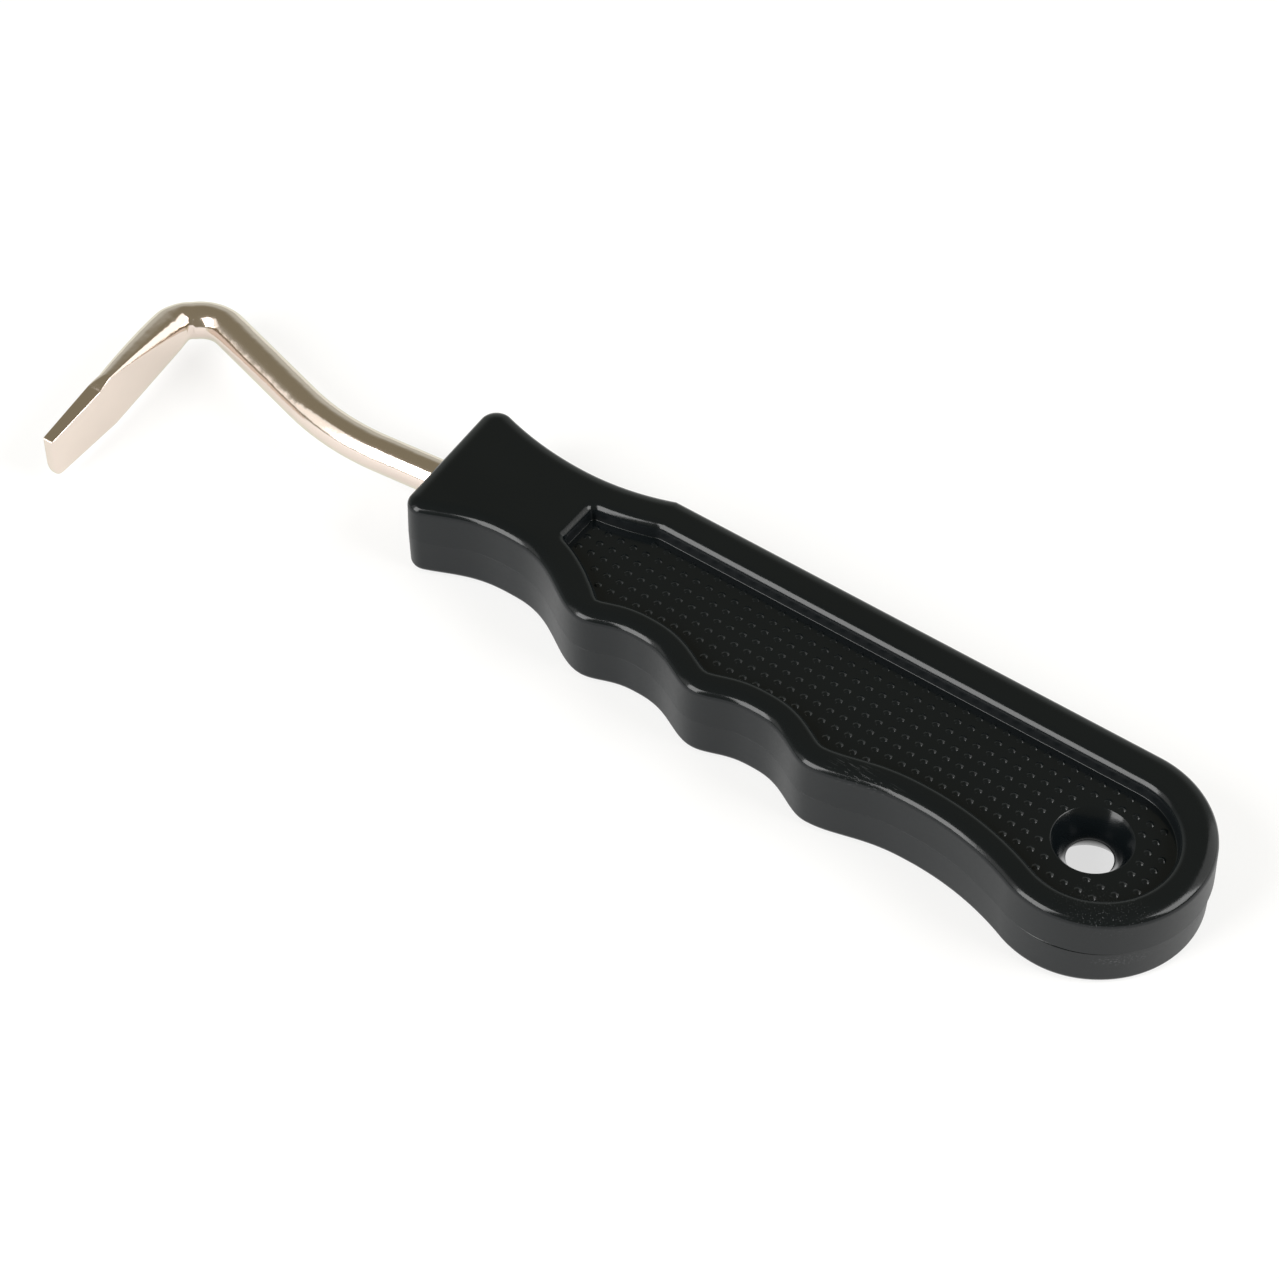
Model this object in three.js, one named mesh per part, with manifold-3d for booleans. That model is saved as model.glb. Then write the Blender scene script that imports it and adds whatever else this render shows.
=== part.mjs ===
// Hoof pick: a bent steel rod with a flat blade, held between two moulded handle halves.
//
// Model frame, millimetres. While the pieces are made, the origin is the centre of the round butt
// on the seam between the halves. X runs along the handle towards the butt, so the hook is at -X.
// The finger hollows face -Y, the straight spine faces +Y, and Z is the handle's thickness. The
// finished group is then moved, so that it rests on Z = 0 with its footprint centred on the origin.

import * as THREE from 'three';
import { mergeVertices } from 'three/addons/utils/BufferGeometryUtils.js';
import Module from 'manifold-3d';

// ---- Steel rod and the plastic around it ------------------------------------------------------

const ROD_DIAMETER = 5;
const FIT_GAP = 0.3; // between the steel and the plastic, and around the pegs
const TANG_SKIN = 1.05; // plastic left between the tang's groove and the grip panel's floor
const PANEL_DEPTH = 2.4; // how far the grip panel is sunk in each face

// ---- Handle outline ---------------------------------------------------------------------------

const BUTT_RADIUS = 14; // half the handle's width; the spine is tangent to the round butt
const RIM_FILLET = 1.9; // rounding of the outer edge of each half
const SIDE_DRAFT = 0.1; // how far a side wall leans in between the seam and the fillet

const FIRST_HOLLOW = { x: -20, y: -9.9 }; // runs into the butt as an arc
const FIRST_RIDGE = { x: -34, y: -12.1 };
const FINGER_PITCH = 18; // from one ridge between the fingers to the next
const RIDGE_STEP = 1.5; // each ridge is lower than the one behind it
const NECK_LENGTH = 30.4; // flared part ahead of the last ridge
const LAST_RIDGE = {
  x: FIRST_RIDGE.x - 2 * FINGER_PITCH,
  y: FIRST_RIDGE.y + 2 * RIDGE_STEP,
};
const HANDLE_FRONT = LAST_RIDGE.x - NECK_LENGTH; // front end, beside the spine
const FRONT_LEAN = 0.7; // the front end leans back by this towards the fingers
const FRONT_AT_FINGERS = HANDLE_FRONT + FRONT_LEAN;
const SPINE_CORNER_RADIUS = 2.5;
const FINGER_CORNER_RADIUS = 2.2;
const EASE = 1.3; // above 1 makes a hollow wider and its ridges narrower
// From the first hollow to the front end: hollow, ridge, and so on to the flared corner.
const FINGER_TURNS = [
  FIRST_HOLLOW,
  FIRST_RIDGE,
  { x: FIRST_RIDGE.x - 10, y: -8.95 },
  { x: FIRST_RIDGE.x - FINGER_PITCH, y: FIRST_RIDGE.y + RIDGE_STEP },
  { x: LAST_RIDGE.x + 7.5, y: -7.5 },
  LAST_RIDGE,
  { x: HANDLE_FRONT + 15.4, y: -3.6 },
  { x: HANDLE_FRONT + 0.3, y: -7.4 },
];

const WAIST = { x: HANDLE_FRONT + 16.4, y: 11.6 }; // lowest point of the thumb hollow
const WAIST_START = HANDLE_FRONT + 29.1; // where the thumb hollow leaves the straight spine
const WAIST_FRONT_RADIUS = 45; // its radius between the lowest point and the front end

// ---- Sunk grip panel, one on each face --------------------------------------------------------

const PANEL_FRONT = HANDLE_FRONT + 21.2;
const PANEL_END_X = 0.1; // centre of its round end
const SPINE_RIM = 5.28; // width left between the panel and the spine
const FINGER_RIM = 3.85; // width left between the panel and the finger hollows
const FRONT_RIM_EXTRA = 1; // the finger rim grows by this ahead of the last ridge
const PANEL_LIP = 0.8; // rounding of the panel's upper edge

// ---- Hang hole --------------------------------------------------------------------------------

const HOLE = { x: -0.8, y: -0.4 };
const HOLE_NECK_RADIUS = 2.95; // at the seam
const HOLE_MOUTH_RADIUS = 4.95; // at the panel's floor
const HOLE_FLARE = 1.3; // 1 is a plain cone, more is a bell mouth

// ---- Steel hook -------------------------------------------------------------------------------

const ROD_Y = 3.7; // height of the tang inside the handle
const TANG_LENGTH = 58.4; // from the front end of the handle to the tang's inner end
const SPADE_LENGTH = 12; // flattened stretch that keys the tang
const SPADE_WIDTH = 8;
const SPADE_THICKNESS = 2.6;
// Corners of the rod's centre line outside the tang, with the radius of each bend.
const ROD_EXIT = { x: HANDLE_FRONT + 1.9, y: ROD_Y, radius: 30 };
const ROD_SWEEP = { x: HANDLE_FRONT - 17.1, y: 1.81, radius: 37 };
const HOOK_BEND = { x: HANDLE_FRONT - 46.75, y: 10.39, radius: 5.2 };
const BLADE_TIP_Y = -22.5;

const BLADE_SHOULDER_Y = -10.5; // where the trimmed sides begin
const BLADE_ROOT_THICKNESS = 2.2;
const BLADE_TIP_THICKNESS = 1.6;
const BLADE_SHOULDER_UPPER = 4.5; // half width above the seam plane, just before the trim
const BLADE_TRIM_UPPER = 3.9; // and just after it
const BLADE_TIP_UPPER = 2.4;
const BLADE_LOWER = 4.4; // half width below the seam plane
const BLADE_TIP_ROUND = 1.2; // rounding of the tip's lower corner

// ---- Inside of the handle ---------------------------------------------------------------------

const WALL = 1.5; // least plastic beside a cored pocket
const FLOOR = 1.6; // least plastic under the grip panel
const RIB = 1.5; // between two pockets
const POCKET_COUNT = 4; // in each row
const PEG_RADIUS = 1.2;
const PEG_LENGTH = 2.2;

// ---- Fineness of the facets -------------------------------------------------------------------

const FINGER_STEPS = 64;
const WAIST_STEPS = 14;
const BUTT_STEPS = 22;
const CORNER_STEPS = 4;
const FILLET_STEPS = 3;
const ENVELOPE_STEPS = 24;
const HOLE_SIDES = 32;
const ROD_SIDES = 16;
const ROD_STEP = 2;
const BEND_STEP = THREE.MathUtils.degToRad(7);

// ---- Worked out from the above ----------------------------------------------------------------

const ROD_RADIUS = ROD_DIAMETER / 2;
const PANEL_FLOOR = ROD_RADIUS + FIT_GAP + TANG_SKIN; // height of the panel above the seam
const HALF_THICKNESS = PANEL_FLOOR + PANEL_DEPTH;
const TANG_END = HANDLE_FRONT + TANG_LENGTH;
const CLEAR = 1; // how far a cutter runs past the face that it opens
// The first hollow's arc towards the butt is tangent to the butt.
const FIRST_HOLLOW_RADIUS =
  (FIRST_HOLLOW.x ** 2 + FIRST_HOLLOW.y ** 2 - BUTT_RADIUS ** 2) /
  (2 * (BUTT_RADIUS + FIRST_HOLLOW.y));
const WAIST_RISE = BUTT_RADIUS - WAIST.y;
const WAIST_BACK_RADIUS =
  ((WAIST_START - WAIST.x) ** 2 + WAIST_RISE ** 2) / (2 * WAIST_RISE);

const wasm = await Module();
wasm.setup();

// Height of an arc's point above its lowest point, dx away from it.
const arcRise = (radius, dx) => radius - Math.sqrt(Math.max(0, radius ** 2 - dx ** 2));

// The spine's Y at x: straight, then the thumb hollow made of two arcs.
function spineEdge(x) {
  const radius = x > WAIST.x ? WAIST_BACK_RADIUS : WAIST_FRONT_RADIUS;
  return x > WAIST_START ? BUTT_RADIUS : WAIST.y + arcRise(radius, x - WAIST.x);
}

// The finger side's Y at x. Between two turning points, it follows half a cosine wave.
function fingerEdge(x) {
  if (x > FIRST_HOLLOW.x) {
    return FIRST_HOLLOW.y - arcRise(FIRST_HOLLOW_RADIUS, x - FIRST_HOLLOW.x);
  }
  const found = FINGER_TURNS.findIndex((turn) => turn.x <= x);
  const next = found < 1 ? FINGER_TURNS.length - 1 : found;
  const pair = [FINGER_TURNS[next - 1], FINGER_TURNS[next]];
  const [hollow, ridge] = next % 2 === 1 ? pair : pair.reverse();
  const along = Math.min(1, (x - hollow.x) / (ridge.x - hollow.x));
  const wave = (1 - Math.cos(Math.PI * along ** EASE)) / 2;
  return hollow.y + (ridge.y - hollow.y) * wave;
}

// An edge moved inwards: where a disc of radius inset(x), rolled along the edge, reaches to.
// side is +1 for the spine and -1 for the fingers.
function insetEdge(edge, side, x, inset) {
  let reach = side * edge(x) - inset(x);
  for (let step = 1; step < ENVELOPE_STEPS; step += 1) {
    const sine = (2 * step) / ENVELOPE_STEPS - 1;
    const radius = inset(x);
    const near = x + sine * radius;
    reach = Math.min(reach, side * edge(near) - inset(near) * Math.sqrt(1 - sine ** 2));
  }
  return side * reach;
}

// Centre of the disc that rounds the corner between an edge and the front end.
function cornerCentre(edge, side, front, radius) {
  const x = front + radius;
  return new THREE.Vector2(x, insetEdge(edge, side, x, () => radius));
}

// Points of an arc, both ends included.
function arcPoints(centre, radius, from, to, steps) {
  const points = [];
  for (let i = 0; i <= steps; i += 1) {
    const angle = from + ((to - from) * i) / steps;
    points.push(
      new THREE.Vector2(
        centre.x + radius * Math.cos(angle),
        centre.y + radius * Math.sin(angle),
      ),
    );
  }
  return points;
}

// Points of an inset edge from one x to another, both ends included.
function edgePoints(edge, side, inset, from, to, steps) {
  const points = [];
  for (let i = 0; i <= steps; i += 1) {
    const x = from + ((to - from) * i) / steps;
    points.push(new THREE.Vector2(x, insetEdge(edge, side, x, inset)));
  }
  return points;
}

// The handle's outline, moved inwards, anticlockwise from the top of the butt.
function handleOutline(inset) {
  const constant = () => inset;
  const upper = cornerCentre(spineEdge, 1, HANDLE_FRONT, SPINE_CORNER_RADIUS);
  const lower = cornerCentre(fingerEdge, -1, FRONT_AT_FINGERS, FINGER_CORNER_RADIUS);
  const tangent = Math.atan2(
    FIRST_HOLLOW.y - FIRST_HOLLOW_RADIUS,
    FIRST_HOLLOW.x,
  );
  const butt = new THREE.Vector2(0, 0);
  const tangentX = (BUTT_RADIUS - inset) * Math.cos(tangent);
  const fingers = edgePoints(fingerEdge, -1, constant, lower.x, tangentX, FINGER_STEPS);
  return [
    new THREE.Vector2(0, BUTT_RADIUS - inset),
    ...edgePoints(spineEdge, 1, constant, WAIST_START, upper.x, WAIST_STEPS),
    ...arcPoints(upper, SPINE_CORNER_RADIUS - inset, Math.PI / 2, Math.PI, CORNER_STEPS).slice(1),
    ...arcPoints(lower, FINGER_CORNER_RADIUS - inset, Math.PI, 1.5 * Math.PI, CORNER_STEPS),
    ...fingers.slice(1, -1),
    ...arcPoints(butt, BUTT_RADIUS - inset, tangent, Math.PI / 2, BUTT_STEPS).slice(0, -1),
  ];
}

// Width of the rim beside the fingers: wider ahead of the last ridge.
function fingerRim(x) {
  const share = THREE.MathUtils.smoothstep(LAST_RIDGE.x - x, 0, FINGER_RIM);
  return FINGER_RIM + FRONT_RIM_EXTRA * share;
}

// The grip panel's outline, made larger all round by grow, anticlockwise from its round end's top.
function panelOutline(grow) {
  // The round end touches the spine rim and the first hollow's rim, which fixes its radius.
  const top = BUTT_RADIUS - SPINE_RIM;
  const hollow = new THREE.Vector2(FIRST_HOLLOW.x, FIRST_HOLLOW.y - FIRST_HOLLOW_RADIUS);
  const hollowRim = FIRST_HOLLOW_RADIUS + FINGER_RIM;
  const rise = top - hollow.y;
  const run = PANEL_END_X - hollow.x;
  const radius = (run ** 2 + rise ** 2 - hollowRim ** 2) / (2 * (hollowRim + rise));
  const centre = new THREE.Vector2(PANEL_END_X, top - radius);
  const tangent = Math.atan2(hollow.y - centre.y, hollow.x - centre.x);
  const endRadius = radius + grow;
  const front = PANEL_FRONT - grow;
  const endX = centre.x + endRadius * Math.cos(tangent);
  const fingerInset = (x) => fingerRim(x) - grow;
  const spineInset = () => SPINE_RIM - grow;
  const fingers = edgePoints(fingerEdge, -1, fingerInset, front, endX, FINGER_STEPS);
  return [
    ...edgePoints(spineEdge, 1, spineInset, WAIST_START + CLEAR, front, WAIST_STEPS),
    ...fingers.slice(0, -1),
    ...arcPoints(centre, endRadius, tangent, Math.PI / 2, BUTT_STEPS),
  ];
}

// A closed solid through a stack of loops that hold equally many points.
function stack(loops) {
  const count = loops[0].points.length;
  const positions = [];
  for (const loop of loops) {
    for (const point of loop.points) {
      positions.push(point.x, point.y, loop.z);
    }
  }
  const index = [];
  for (let level = 0; level + 1 < loops.length; level += 1) {
    for (let i = 0; i < count; i += 1) {
      const a = level * count + i;
      const b = level * count + ((i + 1) % count);
      index.push(a, b, b + count, a, b + count, a + count);
    }
  }
  const lastLoop = (loops.length - 1) * count;
  for (const [a, b, c] of THREE.ShapeUtils.triangulateShape(loops[0].points, [])) {
    index.push(c, b, a);
  }
  for (const [a, b, c] of THREE.ShapeUtils.triangulateShape(loops.at(-1).points, [])) {
    index.push(lastLoop + a, lastLoop + b, lastLoop + c);
  }
  const geometry = new THREE.BufferGeometry();
  geometry.setAttribute('position', new THREE.Float32BufferAttribute(positions, 3));
  geometry.setIndex(index);
  return geometry;
}

// A closed geometry as a solid that can be joined and cut.
function solid(geometry) {
  const bare = geometry.clone();
  bare.deleteAttribute('normal');
  bare.deleteAttribute('uv');
  const merged = mergeVertices(bare);
  return new wasm.Manifold(
    new wasm.Mesh({
      numProp: 3,
      vertProperties: new Float32Array(merged.attributes.position.array),
      triVerts: new Uint32Array(merged.index.array),
    }),
  );
}

// A solid back as a geometry with flat faces.
function geometryOf(body) {
  const mesh = body.getMesh();
  const geometry = new THREE.BufferGeometry();
  geometry.setAttribute('position', new THREE.BufferAttribute(mesh.vertProperties, 3));
  geometry.setIndex(new THREE.BufferAttribute(mesh.triVerts, 1));
  return geometry;
}

// A box between two corners.
function box(low, high) {
  const size = high.clone().sub(low);
  const centre = high.clone().add(low).multiplyScalar(0.5);
  const geometry = new THREE.BoxGeometry(size.x, size.y, size.z);
  return solid(geometry.translate(centre.x, centre.y, centre.z));
}

// An upright round bar from the seam plane to z.
function upright(x, y, radius, z) {
  const geometry = new THREE.CylinderGeometry(radius, radius, Math.abs(z), ROD_SIDES);
  geometry.rotateX(Math.PI / 2);
  geometry.translate(x, y, z / 2);
  return solid(geometry);
}

// One half of the handle with its rounded rim, from the seam up, before anything is cut.
function halfBody() {
  const loops = [{ points: handleOutline(0), z: 0 }];
  for (let i = 0; i <= FILLET_STEPS; i += 1) {
    const angle = (i / FILLET_STEPS) * (Math.PI / 2);
    loops.push({
      points: handleOutline(SIDE_DRAFT + RIM_FILLET * (1 - Math.cos(angle))),
      z: HALF_THICKNESS - RIM_FILLET * (1 - Math.sin(angle)),
    });
  }
  return solid(stack(loops));
}

// Cuts the sunk grip panel, with its rounded lip.
function panelCutter() {
  const loops = [{ points: panelOutline(0), z: PANEL_FLOOR }];
  for (let i = 0; i <= FILLET_STEPS; i += 1) {
    const angle = (i / FILLET_STEPS) * (Math.PI / 2);
    loops.push({
      points: panelOutline(PANEL_LIP * (1 - Math.cos(angle))),
      z: HALF_THICKNESS - PANEL_LIP * (1 - Math.sin(angle)),
    });
  }
  loops.push({ points: panelOutline(PANEL_LIP), z: HALF_THICKNESS + CLEAR });
  return solid(stack(loops));
}

// Cuts the hang hole: a bell mouth that narrows from the panel's floor to the seam.
function holeCutter() {
  const steps = 6;
  const profile = [new THREE.Vector2(0, -CLEAR), new THREE.Vector2(HOLE_NECK_RADIUS, -CLEAR)];
  for (let i = 0; i <= steps; i += 1) {
    const share = i / steps;
    const flare = (HOLE_MOUTH_RADIUS - HOLE_NECK_RADIUS) * share ** HOLE_FLARE;
    profile.push(new THREE.Vector2(HOLE_NECK_RADIUS + flare, PANEL_FLOOR * share));
  }
  profile.push(new THREE.Vector2(HOLE_MOUTH_RADIUS, HALF_THICKNESS + CLEAR));
  profile.push(new THREE.Vector2(0, HALF_THICKNESS + CLEAR));
  const geometry = new THREE.LatheGeometry(profile, HOLE_SIDES);
  geometry.rotateX(Math.PI / 2);
  geometry.translate(HOLE.x, HOLE.y, 0);
  return solid(geometry);
}

// A round bar between two points of the seam plane.
function bar(from, to, radius) {
  const along = new THREE.Vector3(to.x - from.x, to.y - from.y, 0);
  const geometry = new THREE.CylinderGeometry(radius, radius, along.length(), ROD_SIDES);
  const up = new THREE.Vector3(0, 1, 0);
  geometry.applyQuaternion(new THREE.Quaternion().setFromUnitVectors(up, along.normalize()));
  geometry.translate((from.x + to.x) / 2, (from.y + to.y) / 2, 0);
  return solid(geometry);
}

// Cuts the groove for the tang and the pocket for its spade.
function tangCutter() {
  const radius = ROD_RADIUS + FIT_GAP;
  const inner = { x: TANG_END + FIT_GAP, y: ROD_Y };
  const slope = (ROD_EXIT.y - ROD_SWEEP.y) / (ROD_EXIT.x - ROD_SWEEP.x);
  const outside = Math.min(HANDLE_FRONT, FRONT_AT_FINGERS) - CLEAR;
  const exit = { x: outside, y: ROD_EXIT.y + slope * (outside - ROD_EXIT.x) };
  const straight = { x: ROD_EXIT.x - radius, y: ROD_Y };
  const groove = bar(inner, straight, radius).add(bar(ROD_EXIT, exit, radius));
  const halfWidth = Math.max(SPADE_WIDTH / 2, ROD_RADIUS) + FIT_GAP;
  const halfHeight = SPADE_THICKNESS / 2 + FIT_GAP;
  const pocket = box(
    new THREE.Vector3(TANG_END - SPADE_LENGTH - FIT_GAP, ROD_Y - halfWidth, -halfHeight),
    new THREE.Vector3(TANG_END + FIT_GAP, ROD_Y + halfWidth, halfHeight),
  );
  return groove.add(pocket);
}

// Cuts a row of pockets from the seam, between two x and two y, with ribs left between them.
function pocketRow(fromX, toX, lowY, highY, depth) {
  const pitch = (toX - fromX + RIB) / POCKET_COUNT;
  let row = null;
  for (let i = 0; i < POCKET_COUNT; i += 1) {
    const x = fromX + i * pitch;
    const pocket = box(
      new THREE.Vector3(x, lowY, -CLEAR),
      new THREE.Vector3(x + pitch - RIB, highY, depth),
    );
    row = row ? row.add(pocket) : pocket;
  }
  return row;
}

// The pockets that keep the mouldings thin: one row in the spine rim, one beside the tang.
function pocketCutter() {
  const spine = pocketRow(
    WAIST_START + RIB,
    0,
    BUTT_RADIUS - SPINE_RIM + WALL,
    BUTT_RADIUS - SIDE_DRAFT - WALL,
    HALF_THICKNESS - RIM_FILLET,
  );
  const hollowTop = Math.max(...FINGER_TURNS.slice(0, 5).map((turn) => turn.y));
  const middle = pocketRow(
    LAST_RIDGE.x + PEG_RADIUS + FIT_GAP + WALL,
    HOLE.x - HOLE_MOUTH_RADIUS - WALL,
    hollowTop + WALL,
    ROD_Y - SPADE_WIDTH / 2 - FIT_GAP - RIB,
    PANEL_FLOOR - FLOOR,
  );
  return spine.add(middle);
}

// Where the pegs stand: in the butt, beside two ridges, and between the tang and the waist.
function pegPlaces() {
  const ridges = [FIRST_RIDGE, LAST_RIDGE];
  const depth = PEG_RADIUS + FIT_GAP + WALL;
  const holeEdge = HOLE.x + HOLE_MOUTH_RADIUS;
  const tangTop = ROD_Y + ROD_RADIUS + FIT_GAP;
  return [
    { x: (holeEdge + BUTT_RADIUS) / 2, y: HOLE.y },
    ...ridges.map((ridge) => ({ x: ridge.x, y: ridge.y + depth })),
    { x: WAIST.x, y: (tangTop + WAIST.y) / 2 },
  ];
}

// Everything that both halves have: body, panel, hole, tang groove and pockets.
function commonHalf() {
  return halfBody()
    .subtract(panelCutter())
    .subtract(holeCutter())
    .subtract(tangCutter())
    .subtract(pocketCutter());
}

function upperShell() {
  let shell = commonHalf();
  for (const place of pegPlaces()) {
    const root = upright(place.x, place.y, PEG_RADIUS, FLOOR);
    shell = shell.add(root).add(upright(place.x, place.y, PEG_RADIUS, -PEG_LENGTH));
  }
  return geometryOf(shell);
}

function lowerShell() {
  let shell = commonHalf();
  for (const place of pegPlaces()) {
    const radius = PEG_RADIUS + FIT_GAP;
    const depth = PEG_LENGTH + FIT_GAP;
    const socket = upright(place.x, place.y, radius, depth);
    const opening = upright(place.x, place.y, radius, -CLEAR);
    shell = shell.subtract(socket.add(opening));
  }
  const geometry = geometryOf(shell);
  geometry.rotateX(Math.PI);
  geometry.scale(1, -1, 1);
  return flipped(geometry);
}

// The same faces seen from the other side, which a mirrored geometry needs.
function flipped(geometry) {
  const index = geometry.index.array;
  for (let i = 0; i < index.length; i += 3) {
    [index[i], index[i + 1]] = [index[i + 1], index[i]];
  }
  return geometry;
}

// Stations along a bent rod: its corners rounded by arcs, its straights cut into steps.
function rodStations(corners) {
  const stations = [];
  const push = (point, heading) => stations.push({ point, heading });
  let start = new THREE.Vector2(corners[0].x, corners[0].y);
  for (let i = 1; i < corners.length; i += 1) {
    const corner = new THREE.Vector2(corners[i].x, corners[i].y);
    const heading = corner.clone().sub(start).normalize();
    const next = corners[i + 1];
    const leave = next && new THREE.Vector2(next.x, next.y).sub(corner).normalize();
    const turn = next ? Math.atan2(heading.cross(leave), heading.dot(leave)) : 0;
    const trim = next ? corners[i].radius * Math.tan(Math.abs(turn) / 2) : 0;
    const end = corner.clone().addScaledVector(heading, -trim);
    const steps = Math.max(1, Math.round(end.distanceTo(start) / ROD_STEP));
    for (let k = 0; k < steps; k += 1) {
      push(start.clone().lerp(end, k / steps), heading.clone());
    }
    if (!next) {
      push(end, heading.clone());
      break;
    }
    const side = Math.sign(turn);
    const normal = new THREE.Vector2(-heading.y, heading.x).multiplyScalar(side);
    const centre = end.clone().addScaledVector(normal, corners[i].radius);
    const arcSteps = Math.ceil(Math.abs(turn) / BEND_STEP);
    for (let k = 0; k < arcSteps; k += 1) {
      const angle = (turn * k) / arcSteps;
      push(
        end.clone().rotateAround(centre, angle),
        heading.clone().rotateAround(new THREE.Vector2(), angle),
      );
    }
    start = end.clone().rotateAround(centre, turn);
  }
  return stations;
}

// The rod's section at a station: its reach to the left and right of the centre line, above and
// below the seam plane, and how square it is (2 is round, larger is squarer).
function rodSection(point) {
  const { lerp, smoothstep } = THREE.MathUtils;
  const round = { left: ROD_RADIUS, right: ROD_RADIUS, up: ROD_RADIUS, down: ROD_RADIUS };
  if (point.x > ROD_EXIT.x) {
    // The tang is thinned before it widens, so it stays inside the groove and then the pocket.
    const widen = TANG_END - SPADE_LENGTH * 0.75;
    const thin = smoothstep(point.x, TANG_END - SPADE_LENGTH, widen);
    const spade = smoothstep(point.x, widen, TANG_END - SPADE_LENGTH / 2);
    const width = lerp(ROD_RADIUS, SPADE_WIDTH / 2, spade);
    const height = lerp(ROD_RADIUS, SPADE_THICKNESS / 2, thin);
    return { left: width, right: width, up: height, down: height, square: lerp(2, 4, spade) };
  }
  const bladeStart = HOOK_BEND.y - HOOK_BEND.radius * 0.6;
  const onArm = point.x < HOOK_BEND.x + ROD_RADIUS && point.y < bladeStart;
  if (!onArm) {
    return { ...round, square: 2 };
  }
  const press = Math.min(1, (bladeStart - point.y) / (bladeStart - BLADE_SHOULDER_Y));
  const trim = (BLADE_SHOULDER_Y - point.y) / (BLADE_SHOULDER_Y - BLADE_TIP_Y);
  const trimmed = trim > 0;
  const thinStart = HOOK_BEND.y - HOOK_BEND.radius * 1.14;
  const thin = Math.min(1, Math.max(0, thinStart - point.y) / (thinStart - BLADE_SHOULDER_Y));
  const root = lerp(ROD_DIAMETER, BLADE_ROOT_THICKNESS, thin ** 1.2);
  const taper = lerp(BLADE_ROOT_THICKNESS, BLADE_TIP_THICKNESS, Math.max(0, trim));
  const thickness = trimmed ? taper : root;
  const spread = lerp(BLADE_SHOULDER_UPPER, ROD_RADIUS, (1 - press) ** 1.25);
  const tipGap = point.y - BLADE_TIP_Y;
  const corner = Math.max(0, BLADE_TIP_ROUND - tipGap);
  return {
    left: ROD_RADIUS,
    right: thickness - ROD_RADIUS,
    up: trimmed ? lerp(BLADE_TRIM_UPPER, BLADE_TIP_UPPER, trim) : spread,
    down: lerp(ROD_RADIUS, BLADE_LOWER, press) - arcRise(BLADE_TIP_ROUND, corner),
    square: lerp(2, 6, press),
  };
}

// The whole rod: its section carried along the centre line, with flat ends.
function hook() {
  const corners = [
    { x: TANG_END, y: ROD_Y },
    ROD_EXIT,
    ROD_SWEEP,
    HOOK_BEND,
    { x: HOOK_BEND.x, y: BLADE_TIP_Y },
  ];
  const stations = rodStations(corners);
  const positions = [];
  const index = [];
  stations.forEach(({ point, heading }, row) => {
    const section = rodSection(point);
    const left = new THREE.Vector2(-heading.y, heading.x);
    const middle = (section.left - section.right) / 2;
    const half = (section.left + section.right) / 2;
    for (let i = 0; i < ROD_SIDES; i += 1) {
      const angle = (2 * Math.PI * i) / ROD_SIDES;
      const power = 2 / section.square;
      const across = Math.sign(Math.cos(angle)) * Math.abs(Math.cos(angle)) ** power;
      const rise = Math.sign(Math.sin(angle)) * Math.abs(Math.sin(angle)) ** power;
      const place = point.clone().addScaledVector(left, middle + half * across);
      positions.push(place.x, place.y, rise * (rise > 0 ? section.up : section.down));
      if (row > 0) {
        const a = (row - 1) * ROD_SIDES + i;
        const b = (row - 1) * ROD_SIDES + ((i + 1) % ROD_SIDES);
        index.push(a, b, b + ROD_SIDES, a, b + ROD_SIDES, a + ROD_SIDES);
      }
    }
  });
  const last = (stations.length - 1) * ROD_SIDES;
  for (let i = 1; i + 1 < ROD_SIDES; i += 1) {
    index.push(0, i + 1, i);
    index.push(last, last + i, last + i + 1);
  }
  const geometry = new THREE.BufferGeometry();
  geometry.setAttribute('position', new THREE.Float32BufferAttribute(positions, 3));
  geometry.setIndex(index);
  return geometryOf(solid(geometry));
}

// ---- The tool ---------------------------------------------------------------------------------

const blackPlastic = { color: 0x1d1f1f, roughness: 0.42, metalness: 0 };
const platedSteel = { color: 0xc4beb0, roughness: 0.18, metalness: 1 };

function piece(name, geometry, finish) {
  const mesh = new THREE.Mesh(geometry, new THREE.MeshStandardMaterial(finish));
  mesh.name = name;
  return mesh;
}

const hoofPick = new THREE.Group();
hoofPick.add(piece('upper_handle_shell', upperShell(), blackPlastic));
hoofPick.add(piece('lower_handle_shell', lowerShell(), blackPlastic));
hoofPick.add(piece('steel_hook', hook(), platedSteel));

const bounds = new THREE.Box3().setFromObject(hoofPick);
const footprint = bounds.getCenter(new THREE.Vector3());
hoofPick.position.set(-footprint.x, -footprint.y, -bounds.min.z);

export default hoofPick;
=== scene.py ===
"""Hoof pick: the visible pieces of a bent steel hook held in a moulded black plastic handle.

Sizes are worked out in millimetres in the maker's frame: its origin is the centre of the round
butt on the seam between the handle halves, +X points to the butt, the finger hollows face -Y and
Z is the handle's thickness. carry() moves finished points to the part's frame, in metres.
"""

import math

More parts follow.
